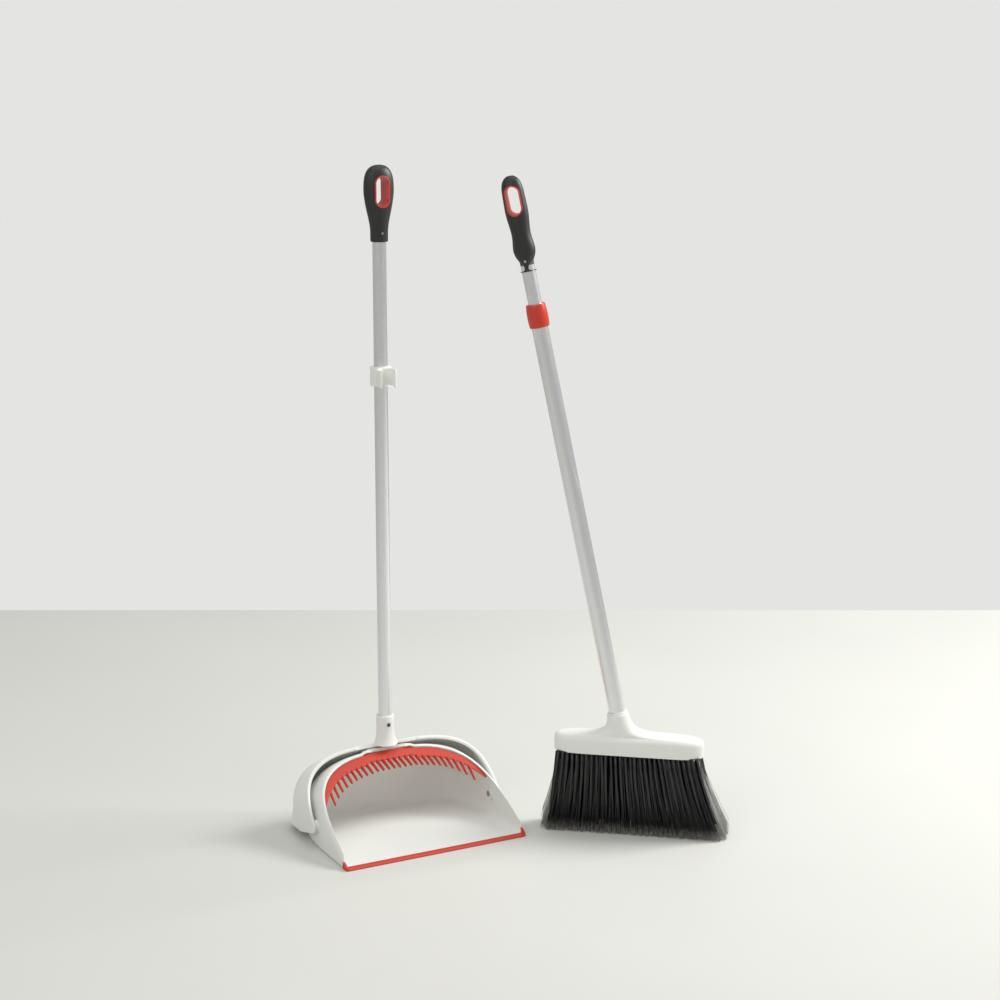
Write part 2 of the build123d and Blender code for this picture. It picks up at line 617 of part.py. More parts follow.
# threaded sleeve on the lower tube, with the collet that grips the inner tube
with BuildPart() as pole_collet:
    add(ring_on_pole(COLLAR_BOTTOM + 3.0, POLE_TOP - COLLAR_BOTTOM - 3.0, POLE_RADIUS + 1.2, POLE_RADIUS))
    add(ring_on_pole(POLE_TOP, 5.0, POLE_RADIUS + 1.2, INNER_POLE_RADIUS + RUNNING_GAP))
pole_collet.part.label = "pole_collet"
export_step(pole_collet.part, "parts/pole_collet.step")

with BuildPart() as twist_collar:
    collar_foot = pole_plane(COLLAR_BOTTOM).origin
    with BuildSketch(Plane(origin=collar_foot, x_dir=pole_side, z_dir=forward)):
        with BuildLine():
            barrel = ThreePointArc((COLLAR_RADIUS - 0.8, 0.8), (COLLAR_RADIUS, COLLAR_LENGTH * 0.45),
                                   (COLLAR_RADIUS - 1.4, COLLAR_LENGTH - 0.8))
            Polyline(barrel @ 1, (COLLAR_RADIUS - 2.2, COLLAR_LENGTH), (0, COLLAR_LENGTH), (0, 0),
                     (COLLAR_RADIUS - 1.6, 0), barrel @ 0)
        make_face()
    revolve(axis=Axis(collar_foot, pole_way))
    with BuildSketch(pole_plane(COLLAR_BOTTOM - 5)):
        Circle(POLE_RADIUS + RUNNING_GAP)
    extrude(amount=COLLAR_LENGTH / 2, mode=Mode.SUBTRACT)
    with BuildSketch(pole_plane(COLLAR_BOTTOM + COLLAR_LENGTH / 2)):
        Circle(INNER_POLE_RADIUS + RUNNING_GAP)
    extrude(amount=COLLAR_LENGTH, mode=Mode.SUBTRACT)
    with BuildSketch(pole_plane(COLLAR_BOTTOM + 2.6)):
        Circle(POLE_RADIUS + 1.2 + RUNNING_GAP)
    extrude(amount=POLE_TOP + 5.4 - COLLAR_BOTTOM - 2.6, mode=Mode.SUBTRACT)
twist_collar.part.label = "twist_collar"
export_step(twist_collar.part, "parts/twist_collar.step")

inner_pole_top = BROOM_GRIP_BOTTOM + 62.0
with BuildPart() as broom_upper_tube:
    add(ring_on_pole(INNER_POLE_BOTTOM, inner_pole_top - INNER_POLE_BOTTOM, INNER_POLE_RADIUS,
                     INNER_POLE_RADIUS - TUBE_WALL))
broom_upper_tube.part.label = "broom_upper_tube"
export_step(broom_upper_tube.part, "parts/broom_upper_tube.step")

with BuildPart() as guide_bush:
    add(ring_on_pole(INNER_POLE_BOTTOM, 26.0, POLE_RADIUS - TUBE_WALL - RUNNING_GAP, INNER_POLE_RADIUS))
guide_bush.part.label = "guide_bush"
export_step(guide_bush.part, "parts/guide_bush.step")

# grip sections: distance above the grip's foot, width, depth
BROOM_GRIP_SECTIONS = (
    (0.0, 24.6, 24.6), (20.0, 26.4, 25.6), (45.0, 29.0, 26.6), (75.0, 31.6, 27.4),
    (100.0, 32.6, 27.0), (118.0, 31.0, 25.0), (128.0, 26.4, 21.0), (134.5, 17.0, 14.0),
    (137.0, 8.0, 6.6),
)
broom_grip_base = pole_plane(BROOM_GRIP_BOTTOM)
broom_ring_plane = Plane(origin=pole_plane(BROOM_RING_CENTRE).origin, x_dir=pole_side, z_dir=forward)
broom_core_form = grip_form(core_sections(BROOM_GRIP_SECTIONS), GRIP_COVER, broom_grip_base)
broom_pin_plane = Plane(origin=pole_plane(BROOM_GRIP_BOTTOM + 15.0).origin, x_dir=pole_side, z_dir=forward)

with BuildPart() as broom_grip:
    add(grip_form(BROOM_GRIP_SECTIONS, 0.0, broom_grip_base))
    add(broom_core_form, mode=Mode.SUBTRACT)
    add(slot_bar(broom_ring_plane, BROOM_RING_SIZE, 40), mode=Mode.SUBTRACT)
    with BuildSketch(pole_plane(BROOM_GRIP_BOTTOM - 5)):
        Circle(INNER_POLE_RADIUS)
    extrude(amount=20, mode=Mode.SUBTRACT)
    with BuildSketch(broom_pin_plane):
        Circle(2.0)
    extrude(amount=40, mode=Mode.SUBTRACT)
broom_grip.part.label = "broom_grip"
export_step(broom_grip.part, "parts/broom_grip.step")

with BuildPart() as broom_grip_core:
    add(broom_core_form)
    add(slot_bar(broom_ring_plane, BROOM_RING_SIZE, 40), mode=Mode.SUBTRACT)
    with BuildSketch(pole_plane(BROOM_GRIP_BOTTOM - 5)):
        Circle(INNER_POLE_RADIUS)
    extrude(amount=inner_pole_top - BROOM_GRIP_BOTTOM + 5, mode=Mode.SUBTRACT)
    with BuildSketch(broom_pin_plane):
        Circle(2.0)
    extrude(amount=40, mode=Mode.SUBTRACT)
broom_grip_core.part.label = "broom_grip_core"
export_step(broom_grip_core.part, "parts/broom_grip_core.step")

with BuildPart() as broom_hang_ring:
    add(slot_bar(broom_ring_plane, BROOM_RING_SIZE, 40))
    add(grip_form(BROOM_GRIP_SECTIONS, -0.5, broom_grip_base), mode=Mode.INTERSECT)
    add(slot_bar(broom_ring_plane, BROOM_RING_SIZE, 40, HANG_RING_WALL), mode=Mode.SUBTRACT)
broom_hang_ring.part.label = "broom_hang_ring"
export_step(broom_hang_ring.part, "parts/broom_hang_ring.step")

with BuildPart() as broom_grip_pin:
    with BuildSketch(broom_pin_plane.offset(INNER_POLE_RADIUS)):
        Circle(2.0)
    extrude(amount=1.9)
broom_grip_pin.part.label = "broom_grip_pin"
export_step(broom_grip_pin.part, "parts/broom_grip_pin.step")
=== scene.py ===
import math
from types import SimpleNamespace

import bmesh
import bpy
import numpy as np
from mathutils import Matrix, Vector


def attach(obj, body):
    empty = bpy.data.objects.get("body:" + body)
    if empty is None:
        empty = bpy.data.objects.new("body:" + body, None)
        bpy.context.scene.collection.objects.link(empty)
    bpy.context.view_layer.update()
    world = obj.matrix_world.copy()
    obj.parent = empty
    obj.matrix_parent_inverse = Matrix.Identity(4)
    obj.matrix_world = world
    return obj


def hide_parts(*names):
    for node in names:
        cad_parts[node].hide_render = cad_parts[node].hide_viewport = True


bl_info = {
    "name": "Upright Dustpan and Broom",
    "version": (1, 0, 0),
    "blender": (4, 5, 0),
    "location": "3D View > Sidebar > Dustpan",
    "description": "Builds the shells, comb, bristles and finishes of an upright dustpan and its broom",
    "category": "Object",
}

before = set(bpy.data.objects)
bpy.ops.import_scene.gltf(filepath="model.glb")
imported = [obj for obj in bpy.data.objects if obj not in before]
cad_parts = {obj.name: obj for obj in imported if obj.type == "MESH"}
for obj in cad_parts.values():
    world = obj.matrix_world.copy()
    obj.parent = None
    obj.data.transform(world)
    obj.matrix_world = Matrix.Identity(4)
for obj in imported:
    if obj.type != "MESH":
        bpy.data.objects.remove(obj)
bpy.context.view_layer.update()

MM = 0.001

# the swing axis of the pan, along X
PIVOT_Y = -70.0
PIVOT_Z = 32.0

# the mouths of pan and hood: straight in side view, where each line meets the floor and its slope
PAN_MOUTH_Y = -179.0
PAN_MOUTH_SLOPE = math.radians(32.0)
HOOD_MOUTH_Y = -112.0
HOOD_MOUTH_SLOPE = math.radians(47.5)

# end of the hood's arm, about the pivot, and the slope of its underside
ARM_RADIUS = 9.36
ARM_SLOPE = math.radians(15.0)

# the comb: half its length, and the half width and height of its arches
COMB_HALF_LENGTH = 133.0
COMB_UPPER_ARCH = (143.2, 105.2)
COMB_LOWER_ARCH = (138.6, 95.6)
TOOTH_ARCH = (139.0, 96.0)

# the sleeve round the foot of the dustpan's tube: level foot, top of the skirt, and radii
SKIRT_FOOT_Z = 115.2
SKIRT_TOP_Z = 142.0
SLEEVE_RADIUS = 13.3
SKIRT_RADIUS = 19.0

# where the bristle rows start and how long they are, at the roots and at the feet
ROW_ROOT_START, ROW_ROOT_RUN = 8.5, 195.0
ROW_FOOT_START, ROW_FOOT_RUN = -12.0, 255.0
CORES_IN_ROW = 30

# camera and studio, in metres and radians
CAMERA_PLACE = (-1.42293, -3.06730, 1.31771)
CAMERA_HEADING = math.radians(-27.823)
CAMERA_TILT = math.radians(90 - 13.740)
ROOM_LIGHT = 0.62

# broom head: its own directions, and the way the pole leans
HEAD_ORIGIN = np.array([210.4, -159.1, 0.0])
HEAD_TURN = math.radians(-38.55)
POLE_LEAN = math.radians(11.7)
ALONG = np.array([math.cos(HEAD_TURN), math.sin(HEAD_TURN), 0.0])
FORWARD = np.array([math.sin(HEAD_TURN), -math.cos(HEAD_TURN), 0.0])
UP = np.array([0.0, 0.0, 1.0])
POLE_WAY = UP * math.cos(POLE_LEAN) - ALONG * math.sin(POLE_LEAN)
POLE_SIDE = ALONG * math.cos(POLE_LEAN) + UP * math.sin(POLE_LEAN)
NECK_TOP = HEAD_ORIGIN + ALONG * 88.2 + UP * 182.0


# ---- colours and settings ------------------------------------------------------------------
def linear(code):
    """Linear RGB of an sRGB hex colour such as '#E4E6E0'."""
    channels = [int(code[i:i + 2], 16) / 255 for i in (1, 3, 5)]
    return tuple(c / 12.92 if c <= 0.04045 else ((c + 0.055) / 1.055) ** 2.4 for c in channels)


def length_property(name, description, default_mm):
    """A length the user can change, kept in metres."""
    return bpy.props.FloatProperty(name=name, description=description, default=default_mm * MM,
                                   min=0.0, unit="LENGTH", precision=5)


def colour_property(name, description, code):
    """A colour the user can change."""
    return bpy.props.FloatVectorProperty(name=name, description=description, subtype="COLOR",
                                         size=3, min=0.0, max=1.0, default=linear(code))


class DustpanSizes(bpy.types.PropertyGroup):
    """Sizes of the dustpan's moulded pieces"""
    hood_half_width: length_property("Hood half width", "From the middle to the hood's side", 154.6)
    hood_height: length_property("Hood height", "Height of the hood's arch", 118.6)
    hood_back_radius: length_property("Hood back radius", "Back of the hood, about the pivot", 108.5)
    hood_wall: length_property("Hood wall", "Wall of the hood", 4.4)
    hood_bottom: length_property("Hood bottom", "Height of the hood's lower edge", 12.0)
    pan_half_width: length_property("Pan half width", "From the middle to the side of the pan", 146.0)
    pan_height: length_property("Pan height", "Height of the pan's arch", 108.0)
    pan_back_radius: length_property("Pan back radius", "Back of the pan, about the pivot", 99.4)
    pan_wall: length_property("Pan wall", "Wall and floor of the pan", 2.6)
    floor_fillet: length_property("Floor fillet", "Round between the pan's floor and its walls", 12.0)
    tab_half_width: length_property("Tab half width", "Raised part of the pan's upper rim", 43.0)
    tab_height: length_property("Tab height", "How far that part stands up", 2.6)
    tooth_length: length_property("Tooth length", "Length of a tooth of the comb", 24.0)
    tooth_thickness: length_property("Tooth thickness", "Thickness of a tooth of the comb", 3.0)
    tooth_pitch: length_property("Tooth pitch", "From one tooth to the next", 9.2)
    tooth_count: bpy.props.IntProperty(name="Teeth", description="Number of teeth in the comb",
                                       default=26, min=1)


class BroomSizes(bpy.types.PropertyGroup):
    """Sizes of the broom's head"""
    bristle_top: length_property("Bristle top", "Height at which the bristles leave the block", 124.0)
    row_pitch: length_property("Row pitch", "From one row of tufts to the next", 8.4)
    filament: length_property("Filament", "Thickness of a drawn filament", 1.5)
    flag_height: length_property("Flagged length", "Split, lighter length at the bristles' feet", 19.0)
    tufts_in_row: bpy.props.IntProperty(name="Tufts in a row", description="Tufts along the head",
                                        default=25, min=2)
    filaments_in_tuft: bpy.props.IntProperty(name="Filaments in a tuft",
                                             description="Filaments drawn for each tuft",
                                             default=15, min=1)


class FinishColours(bpy.types.PropertyGroup):
    """Colours of the finishes"""
    white_abs: colour_property("White ABS", "Hood, pan, broom block and clip", "#E6E7E2")
    red_tpe: colour_property("Red TPE", "Comb and lip", "#C23A27")
    red_abs: colour_property("Red ABS", "Collar and hanging rings", "#C93724")
    black_grip: colour_property("Black soft grip", "Handle grips", "#222222")
    aluminium: colour_property("Anodised aluminium", "Tubes", "#E9EAEB")
    filament: colour_property("Black filament", "Bristles", "#111113")
    filament_flag: colour_property("Flagged ends", "Split feet of the bristles", "#9C9893")
    clear_filament: colour_property("Clear filament", "Outer bristles", "#D8D8D4")
    floor: colour_property("Floor", "Studio floor", "#D4D4CE")
    backdrop: colour_property("Backdrop", "Studio backdrop", "#E4E5E3")


def in_millimetres(group):
    """The group's lengths in millimetres, and its numbers as they are."""
    return SimpleNamespace(**{
        key: getattr(group, key) / MM if kind.unit == "LENGTH" else getattr(group, key)
        for key, kind in group.bl_rna.properties.items() if kind.type in ("FLOAT", "INT")})


# ---- meshes --------------------------------------------------------------------------------
def grid_faces(rows, columns, wrap_columns=False):
    """Quads between neighbours of a grid of rows x columns vertices."""
    row, column = np.meshgrid(np.arange(rows - 1),
                              np.arange(columns if wrap_columns else columns - 1), indexing="ij")
    next_row, next_column = row + 1, (column + 1) % columns
    quads = np.stack([row * columns + column, row * columns + next_column,
                      next_row * columns + next_column, next_row * columns + column], axis=-1)
    return quads.reshape(-1, 4)


def surface(grid, wrap_columns=False):
    """A grid of points (rows, columns, 3) as vertices and quads."""
    return grid.reshape(-1, 3), grid_faces(*grid.shape[:2], wrap_columns)


def capped(grid):
    """The grid with its first and last rows closed onto their middles."""
    return np.concatenate([np.broadcast_to(grid[:1].mean(axis=1, keepdims=True), grid[:1].shape),
                           grid,
                           np.broadcast_to(grid[-1:].mean(axis=1, keepdims=True), grid[-1:].shape)])


def repeated_tubes(grids):
    """Many like tubes (count, rows, columns, 3), each closed at both ends, as one surface."""
    count, rows, columns = grids.shape[:3]
    middles = grids[:, [0, -1]].mean(axis=2, keepdims=True)
    ends = np.broadcast_to(middles, (count, 2, columns, 3))
    whole = np.concatenate([ends[:, :1], grids, ends[:, 1:]], axis=1)
    faces = grid_faces(rows + 2, columns, wrap_columns=True)
    offsets = np.arange(count) * (rows + 2) * columns
    return whole.reshape(-1, 3), (faces[None] + offsets[:, None, None]).reshape(-1, 4)


def lay_mesh(name, surfaces, material, crease=38.0):
    """Joins surfaces given in millimetres into one object at the origin, with seams and poles
    merged, faces outwards and edges sharper than the crease angle kept crisp."""
    starts = np.cumsum([0] + [len(points) for points, _ in surfaces[:-1]])
    points = np.concatenate([points for points, _ in surfaces]) * MM
    faces = np.concatenate([faces + start for (_, faces), start in zip(surfaces, starts)])
    mesh = bpy.data.meshes.new(name)
    mesh.from_pydata(points, [], faces)
    work = bmesh.new()
    work.from_mesh(mesh)
    bmesh.ops.remove_doubles(work, verts=work.verts, dist=2e-6)
    bmesh.ops.recalc_face_normals(work, faces=work.faces)
    work.to_mesh(mesh)
    work.free()
    mesh.shade_smooth()
    mesh.set_sharp_from_angle(angle=math.radians(crease))
    mesh.materials.append(material)
    piece = bpy.data.objects.new(name, mesh)
    bpy.context.scene.collection.objects.link(piece)
    return piece


def unit(vectors):
    """Vectors at length one."""
    return vectors / np.maximum(np.linalg.norm(vectors, axis=-1, keepdims=True), 1e-9)


def ease(value, low, high):
    """Smooth step: 0 below low, 1 above high."""
    share = np.clip((value - low) / (high - low), 0, 1)
    return share * share * (3 - 2 * share)


def through(keys, steps):
    """A smooth run of rows through the key rows: Catmull-Rom, the cubic whose slope at each key is
    half the difference of its neighbours."""
    keys = np.asarray(keys, float)
    padded = np.concatenate([keys[:1] * 2 - keys[1:2], keys, keys[-1:] * 2 - keys[-2:-1]])
    place = np.linspace(0, len(keys) - 1, steps)
    cell = np.minimum(place.astype(int), len(keys) - 2)
    t = (place - cell)[:, None]
    a, b, c, d = (padded[cell + i] for i in range(4))
    return 0.5 * (2 * b + (c - a) * t + (2 * a - 5 * b + 4 * c - d) * t**2
                  + (3 * b - a - 3 * c + d) * t**3)


def walled(outer, inner, with_bottom=True, steps=4):
    """Outer and inner walls of a moulded shell, joined by a half-round rim along their edge.
    The rim's section is a half circle on the wall's thickness, turned outwards from the wall."""
    rows, columns = outer.shape[:2]
    up_left, up_right = np.arange(rows)[::-1], np.arange(rows)
    across = np.arange(1, columns - 1)
    row = np.concatenate([up_right, np.full(len(across), rows - 1), up_left])
    column = np.concatenate([np.full(rows, columns - 1), across[::-1], np.zeros(rows, int)])
    if with_bottom:
        row = np.concatenate([row, np.zeros(len(across), int)])
        column = np.concatenate([column, across])
    row_in = np.clip(row, 1, rows - 2 if with_bottom else rows - 1)
    row_in = np.where(row == rows - 1, rows - 2, row_in)
    column_in = np.clip(column, 1, columns - 2)
    start, stop = outer[row, column], inner[row, column]
    at_pole = (row == 0) & (not with_bottom)
    source_row = np.where(at_pole, 1, row)
    away = (outer[source_row, column] + inner[source_row, column]
            - outer[row_in, column_in] - inner[row_in, column_in])
    across_wall = unit(start - stop)
    away = unit(away - (away * across_wall).sum(axis=-1, keepdims=True) * across_wall)
    half = np.linalg.norm(start - stop, axis=-1, keepdims=True) / 2
    angle = np.linspace(0, math.pi, steps + 2)[:, None, None]
    rim = ((start + stop) / 2 + np.cos(angle) * (start - stop) / 2
           + np.sin(angle) * half * away * 0.9)
    return [surface(outer), surface(inner), surface(rim, wrap_columns=True)]


def bowl(z, inset, form, turn):
    """Level C-shaped sections of a round-backed shell. At height z the half width follows the
    superellipse arch, the back follows the circle about the pivot, and the front is form.front(z).
    The section is a superellipse between them, whose power falls from squarish to round with z."""
    share = np.clip(z / form.height, 0, 1)
    half_width = form.half_width * (1 - share ** form.powers[1]) ** (1 / form.powers[0]) - inset
    back = PIVOT_Y + np.sqrt(form.back_radius**2 - (z - PIVOT_Z) ** 2) - inset
    front = form.front(z)
    power = form.top_power + (form.foot_power - form.top_power) * (1 - share**2.2)
    reach = (np.abs(np.cos(turn)) ** power + np.abs(np.sin(turn)) ** power) ** (-1 / power)
    x = half_width * np.cos(turn) * reach
    y = front + np.maximum(back - front, 0) * np.sin(turn) * reach
    return np.stack(np.broadcast_arrays(x, y, z + 0 * x), axis=-1)


def turned(profile, columns, origin=(0, 0, 0), axis=(0, 0, 1), side=(1, 0, 0)):
    """A profile of (distance along the axis, radius) turned about the axis, closed at both ends."""
    profile = np.asarray(profile, float)
    axis, side = np.asarray(axis, float), np.asarray(side, float)
    angle = np.linspace(0, 2 * math.pi, columns, endpoint=False)
    ring = np.cos(angle)[:, None] * side + np.sin(angle)[:, None] * np.cross(axis, side)
    grid = (np.asarray(origin, float) + profile[:, :1, None] * axis
            + profile[:, 1:2, None] * ring[None])
    return surface(capped(grid), wrap_columns=True)


def rounded_block(low, high, power=6.0, rows=14, columns=40):
    """A superellipsoid filling a box, whose power makes it a block with soft edges."""
    low, high = np.asarray(low, float), np.asarray(high, float)
    tilt = np.linspace(-math.pi / 2, math.pi / 2, rows)[:, None]
    angle = np.linspace(0, 2 * math.pi, columns, endpoint=False)[None]
    ray = np.stack(np.broadcast_arrays(np.cos(tilt) * np.cos(angle), np.cos(tilt) * np.sin(angle),
                                       np.sin(tilt)), axis=-1)
    ray = ray / (np.abs(ray) ** power).sum(axis=-1, keepdims=True) ** (1 / power)
    return surface((low + high) / 2 + ray * (high - low) / 2, wrap_columns=True)


# ---- finishes ------------------------------------------------------------------------------
def add_node(tree, kind, settings=(), inputs=()):
    """Adds a node with its own settings; each input is a value, or a node and its output's name."""
    node = tree.nodes.new(kind)
    for key, value in dict(settings).items():
        setattr(node, key, value)
    for socket, value in dict(inputs).items():
        if isinstance(value, tuple) and isinstance(value[0], bpy.types.Node):
            tree.links.new(value[0].outputs[value[1]], node.inputs[socket])
        else:
            node.inputs[socket].default_value = value
    return node


def new_finish(name, settings):
    """An empty material with its shader, and the tree and coordinates to build on."""
    material = bpy.data.materials.new(name)
    material.use_nodes = True
    tree = material.node_tree
    tree.nodes.clear()
    shader = add_node(tree, "ShaderNodeBsdfPrincipled", inputs=settings)
    add_node(tree, "ShaderNodeOutputMaterial", inputs={"Surface": (shader, "BSDF")})
    coordinates = add_node(tree, "ShaderNodeTexCoord")
    return material, tree, shader, coordinates


def link(tree, node, output, shader, socket):
    """Joins a node's output to one of the shader's sockets."""
    tree.links.new(node.outputs[output], shader.inputs[socket])


def per(millimetres):
    """Texture scale that gives one feature in that many millimetres."""
    return 1.0 / (millimetres * MM)


def two_tones(tree, share, low, high):
    """Colour between two tones, by a 0 to 1 output."""
    return add_node(tree, "ShaderNodeMix", {"data_type": "RGBA"},
                    {"Factor": share, "A": (*low, 1.0), "B": (*high, 1.0)})


def scaled(colour, share):
    """A colour made lighter or darker by a share."""
    return tuple(min(1.0, c * share) for c in colour)


def moulded_finish(name, colour, roughness, grain_mm, grain_depth_mm, mottle, ior=1.5, coat=0.0):
    """Injection-moulded plastic or rubber: broad, faint mottling of the tone and the gloss where
    the melt cooled unevenly, and the fine spark-eroded grain of the mould."""
    material, tree, shader, place = new_finish(name, {"IOR": ior, "Coat Weight": coat,
                                                      "Coat Roughness": 0.3})
    cloud = add_node(tree, "ShaderNodeTexNoise", inputs={
        "Vector": (place, "Object"), "Scale": per(70.0), "Detail": 3.0, "Roughness": 0.55})
    tone = two_tones(tree, (cloud, "Fac"), scaled(colour, 1 - mottle), scaled(colour, 1 + mottle))
    link(tree, tone, "Result", shader, "Base Color")
    gloss = add_node(tree, "ShaderNodeMapRange", inputs={
        "Value": (cloud, "Fac"), "From Min": 0.3, "From Max": 0.7,
        "To Min": roughness - 0.04, "To Max": roughness + 0.05})
    link(tree, gloss, "Result", shader, "Roughness")
    grain = add_node(tree, "ShaderNodeTexNoise", inputs={
        "Vector": (place, "Object"), "Scale": per(grain_mm), "Detail": 4.0, "Roughness": 0.6})
    bump = add_node(tree, "ShaderNodeBump", inputs={
        "Height": (grain, "Fac"), "Strength": 0.5, "Distance": grain_depth_mm * MM})
    link(tree, bump, "Normal", shader, "Normal")
    return material


def aluminium_finish(name, colour, lean):
    """Drawn aluminium tube, satin anodised: fine die lines run along the tube, and the oxide layer
    makes the shine broad and a little cloudy. The lines are drawn about 1 mm apart, coarser than
    real ones, so that they show."""
    material, tree, shader, place = new_finish(name, {"Metallic": 1.0, "Anisotropic": 0.35})
    turn = add_node(tree, "ShaderNodeMapping", {"vector_type": "TEXTURE"}, {
        "Vector": (place, "Object"), "Rotation": lean})
    stretch = add_node(tree, "ShaderNodeMapping", inputs={
        "Vector": (turn, "Vector"), "Scale": (per(1.1), per(1.1), per(160.0))})
    lines = add_node(tree, "ShaderNodeTexNoise", inputs={
        "Vector": (stretch, "Vector"), "Scale": 1.0, "Detail": 3.0, "Roughness": 0.6})
    cloud = add_node(tree, "ShaderNodeTexNoise", inputs={
        "Vector": (place, "Object"), "Scale": per(9.0), "Detail": 4.0, "Roughness": 0.65})
    both = add_node(tree, "ShaderNodeMix", {"data_type": "FLOAT"}, {
        "Factor": 0.4, "A": (lines, "Fac"), "B": (cloud, "Fac")})
    tone = two_tones(tree, (both, "Result"), scaled(colour, 0.86), scaled(colour, 1.1))
    link(tree, tone, "Result", shader, "Base Color")
    gloss = add_node(tree, "ShaderNodeMapRange", inputs={
        "Value": (both, "Result"), "From Min": 0.3, "From Max": 0.7, "To Min": 0.27, "To Max": 0.36})
    link(tree, gloss, "Result", shader, "Roughness")
    bump = add_node(tree, "ShaderNodeBump", inputs={
        "Height": (lines, "Fac"), "Strength": 0.35, "Distance": 0.03 * MM})
    link(tree, bump, "Normal", shader, "Normal")
    return material


def filament_finish(name, colour, flag_colour, flag_mm):
    """Extruded PET filament, split at its feet: smooth and a little shiny, black above, and a dull
    taupe grey where the split ends scatter the light."""
    material, tree, shader, place = new_finish(name, {"IOR": 1.57, "Roughness": 0.38})
    axes = add_node(tree, "ShaderNodeSeparateXYZ", inputs={"Vector": (place, "Object")})
    strands = add_node(tree, "ShaderNodeTexNoise", inputs={
        "Vector": (place, "Object"), "Scale": per(6.0), "Detail": 2.0, "Roughness": 0.7})
    jitter = add_node(tree, "ShaderNodeMath", {"operation": "MULTIPLY_ADD"}, {
        0: (strands, "Fac"), 1: 26 * MM, 2: -13 * MM})
    height = add_node(tree, "ShaderNodeMath", {"operation": "ADD"}, {
        0: (axes, "Z"), 1: (jitter, "Value")})
    flag = add_node(tree, "ShaderNodeMapRange", {"interpolation_type": "SMOOTHSTEP"}, {
        "Value": (height, "Value"), "From Min": 2 * MM, "From Max": flag_mm * MM,
        "To Min": 1.0, "To Max": 0.0})
    black = two_tones(tree, (strands, "Fac"), scaled(colour, 0.6), scaled(colour, 1.8))
    tone = add_node(tree, "ShaderNodeMix", {"data_type": "RGBA"}, {
        "Factor": (flag, "Result"), "A": (black, "Result"), "B": (*flag_colour, 1.0)})
    link(tree, tone, "Result", shader, "Base Color")
    gloss = add_node(tree, "ShaderNodeMapRange", inputs={
        "Value": (flag, "Result"), "To Min": 0.36, "To Max": 0.7})
    link(tree, gloss, "Result", shader, "Roughness")
    return material


def clear_filament_finish(name, colour):
    """Clear PET filament: lets most of the light through and picks up bright edges."""
    material, tree, shader, place = new_finish(name, {
        "IOR": 1.57, "Transmission Weight": 0.35, "Roughness": 0.3})
    strands = add_node(tree, "ShaderNodeTexNoise", inputs={
        "Vector": (place, "Object"), "Scale": per(5.0), "Detail": 2.0})
    tone = two_tones(tree, (strands, "Fac"), scaled(colour, 0.82), scaled(colour, 1.1))
    link(tree, tone, "Result", shader, "Base Color")
    return material


def steel_finish(name):
    """Turned stainless steel: bright, with rings of fine tool marks."""
    material, tree, shader, place = new_finish(name, {"Metallic": 1.0})
    marks = add_node(tree, "ShaderNodeTexNoise", inputs={
        "Vector": (place, "Object"), "Scale": per(0.8), "Detail": 2.0})
    tone = two_tones(tree, (marks, "Fac"), linear("#9C9C9A"), linear("#C4C4C2"))
    link(tree, tone, "Result", shader, "Base Color")
    gloss = add_node(tree, "ShaderNodeMapRange", inputs={
        "Value": (marks, "Fac"), "To Min": 0.25, "To Max": 0.4})
    link(tree, gloss, "Result", shader, "Roughness")
    return material


def floor_finish(name, colour):
    """Pale sealed floor: matt, with broad faint clouds."""
    material, tree, shader, place = new_finish(name, {"IOR": 1.45})
    cloud = add_node(tree, "ShaderNodeTexNoise", inputs={
        "Vector": (place, "Object"), "Scale": per(600.0), "Detail": 4.0, "Roughness": 0.6})
    tone = two_tones(tree, (cloud, "Fac"), scaled(colour, 0.965), scaled(colour, 1.035))
    link(tree, tone, "Result", shader, "Base Color")
    gloss = add_node(tree, "ShaderNodeMapRange", inputs={
        "Value": (cloud, "Fac"), "To Min": 0.4, "To Max": 0.6})
    link(tree, gloss, "Result", shader, "Roughness")
    return material


def finish_named(name):
    """The material of that name, made from the scene's colours the first time it is asked for."""
    if name in bpy.data.materials:
        return bpy.data.materials[name]
    colours = bpy.context.scene.dustpan_colours
    sizes = in_millimetres(bpy.context.scene.broom_sizes)
    pole_turn = (0.0, -POLE_LEAN, HEAD_TURN)
    makers = {
        "white_abs_moulded": lambda: moulded_finish(
            name, colours.white_abs, 0.42, 1.4, 0.05, 0.012, ior=1.53),
        "grey_abs_moulded": lambda: moulded_finish(
            name, linear("#4A4A4B"), 0.5, 1.2, 0.05, 0.04, ior=1.53),
        "red_tpe_moulded": lambda: moulded_finish(
            name, colours.red_tpe, 0.5, 1.0, 0.06, 0.05),
        "red_abs_gloss": lambda: moulded_finish(
            name, colours.red_abs, 0.3, 1.4, 0.02, 0.02, ior=1.53),
        "black_tpe_soft_grip": lambda: moulded_finish(
            name, colours.black_grip, 0.46, 0.9, 0.06, 0.08),
        "aluminium_satin_anodised": lambda: aluminium_finish(
            name, colours.aluminium, (0.0, 0.0, 0.0)),
        "aluminium_satin_anodised_pole": lambda: aluminium_finish(
            name, colours.aluminium, pole_turn),
        "black_pet_filament": lambda: filament_finish(
            name, colours.filament, colours.filament_flag, sizes.flag_height),
        "clear_pet_filament": lambda: clear_filament_finish(name, colours.clear_filament),
        "stainless_steel_turned": lambda: steel_finish(name),
        "sealed_floor_matt": lambda: floor_finish(name, colours.floor),
    }
    return makers[name]()


def place_piece(piece, body, slot, *nodes):
    """Rides a finished piece on its body and lets it stand for its CAD nodes."""
    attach(piece, body)
    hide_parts(*nodes)
    return piece


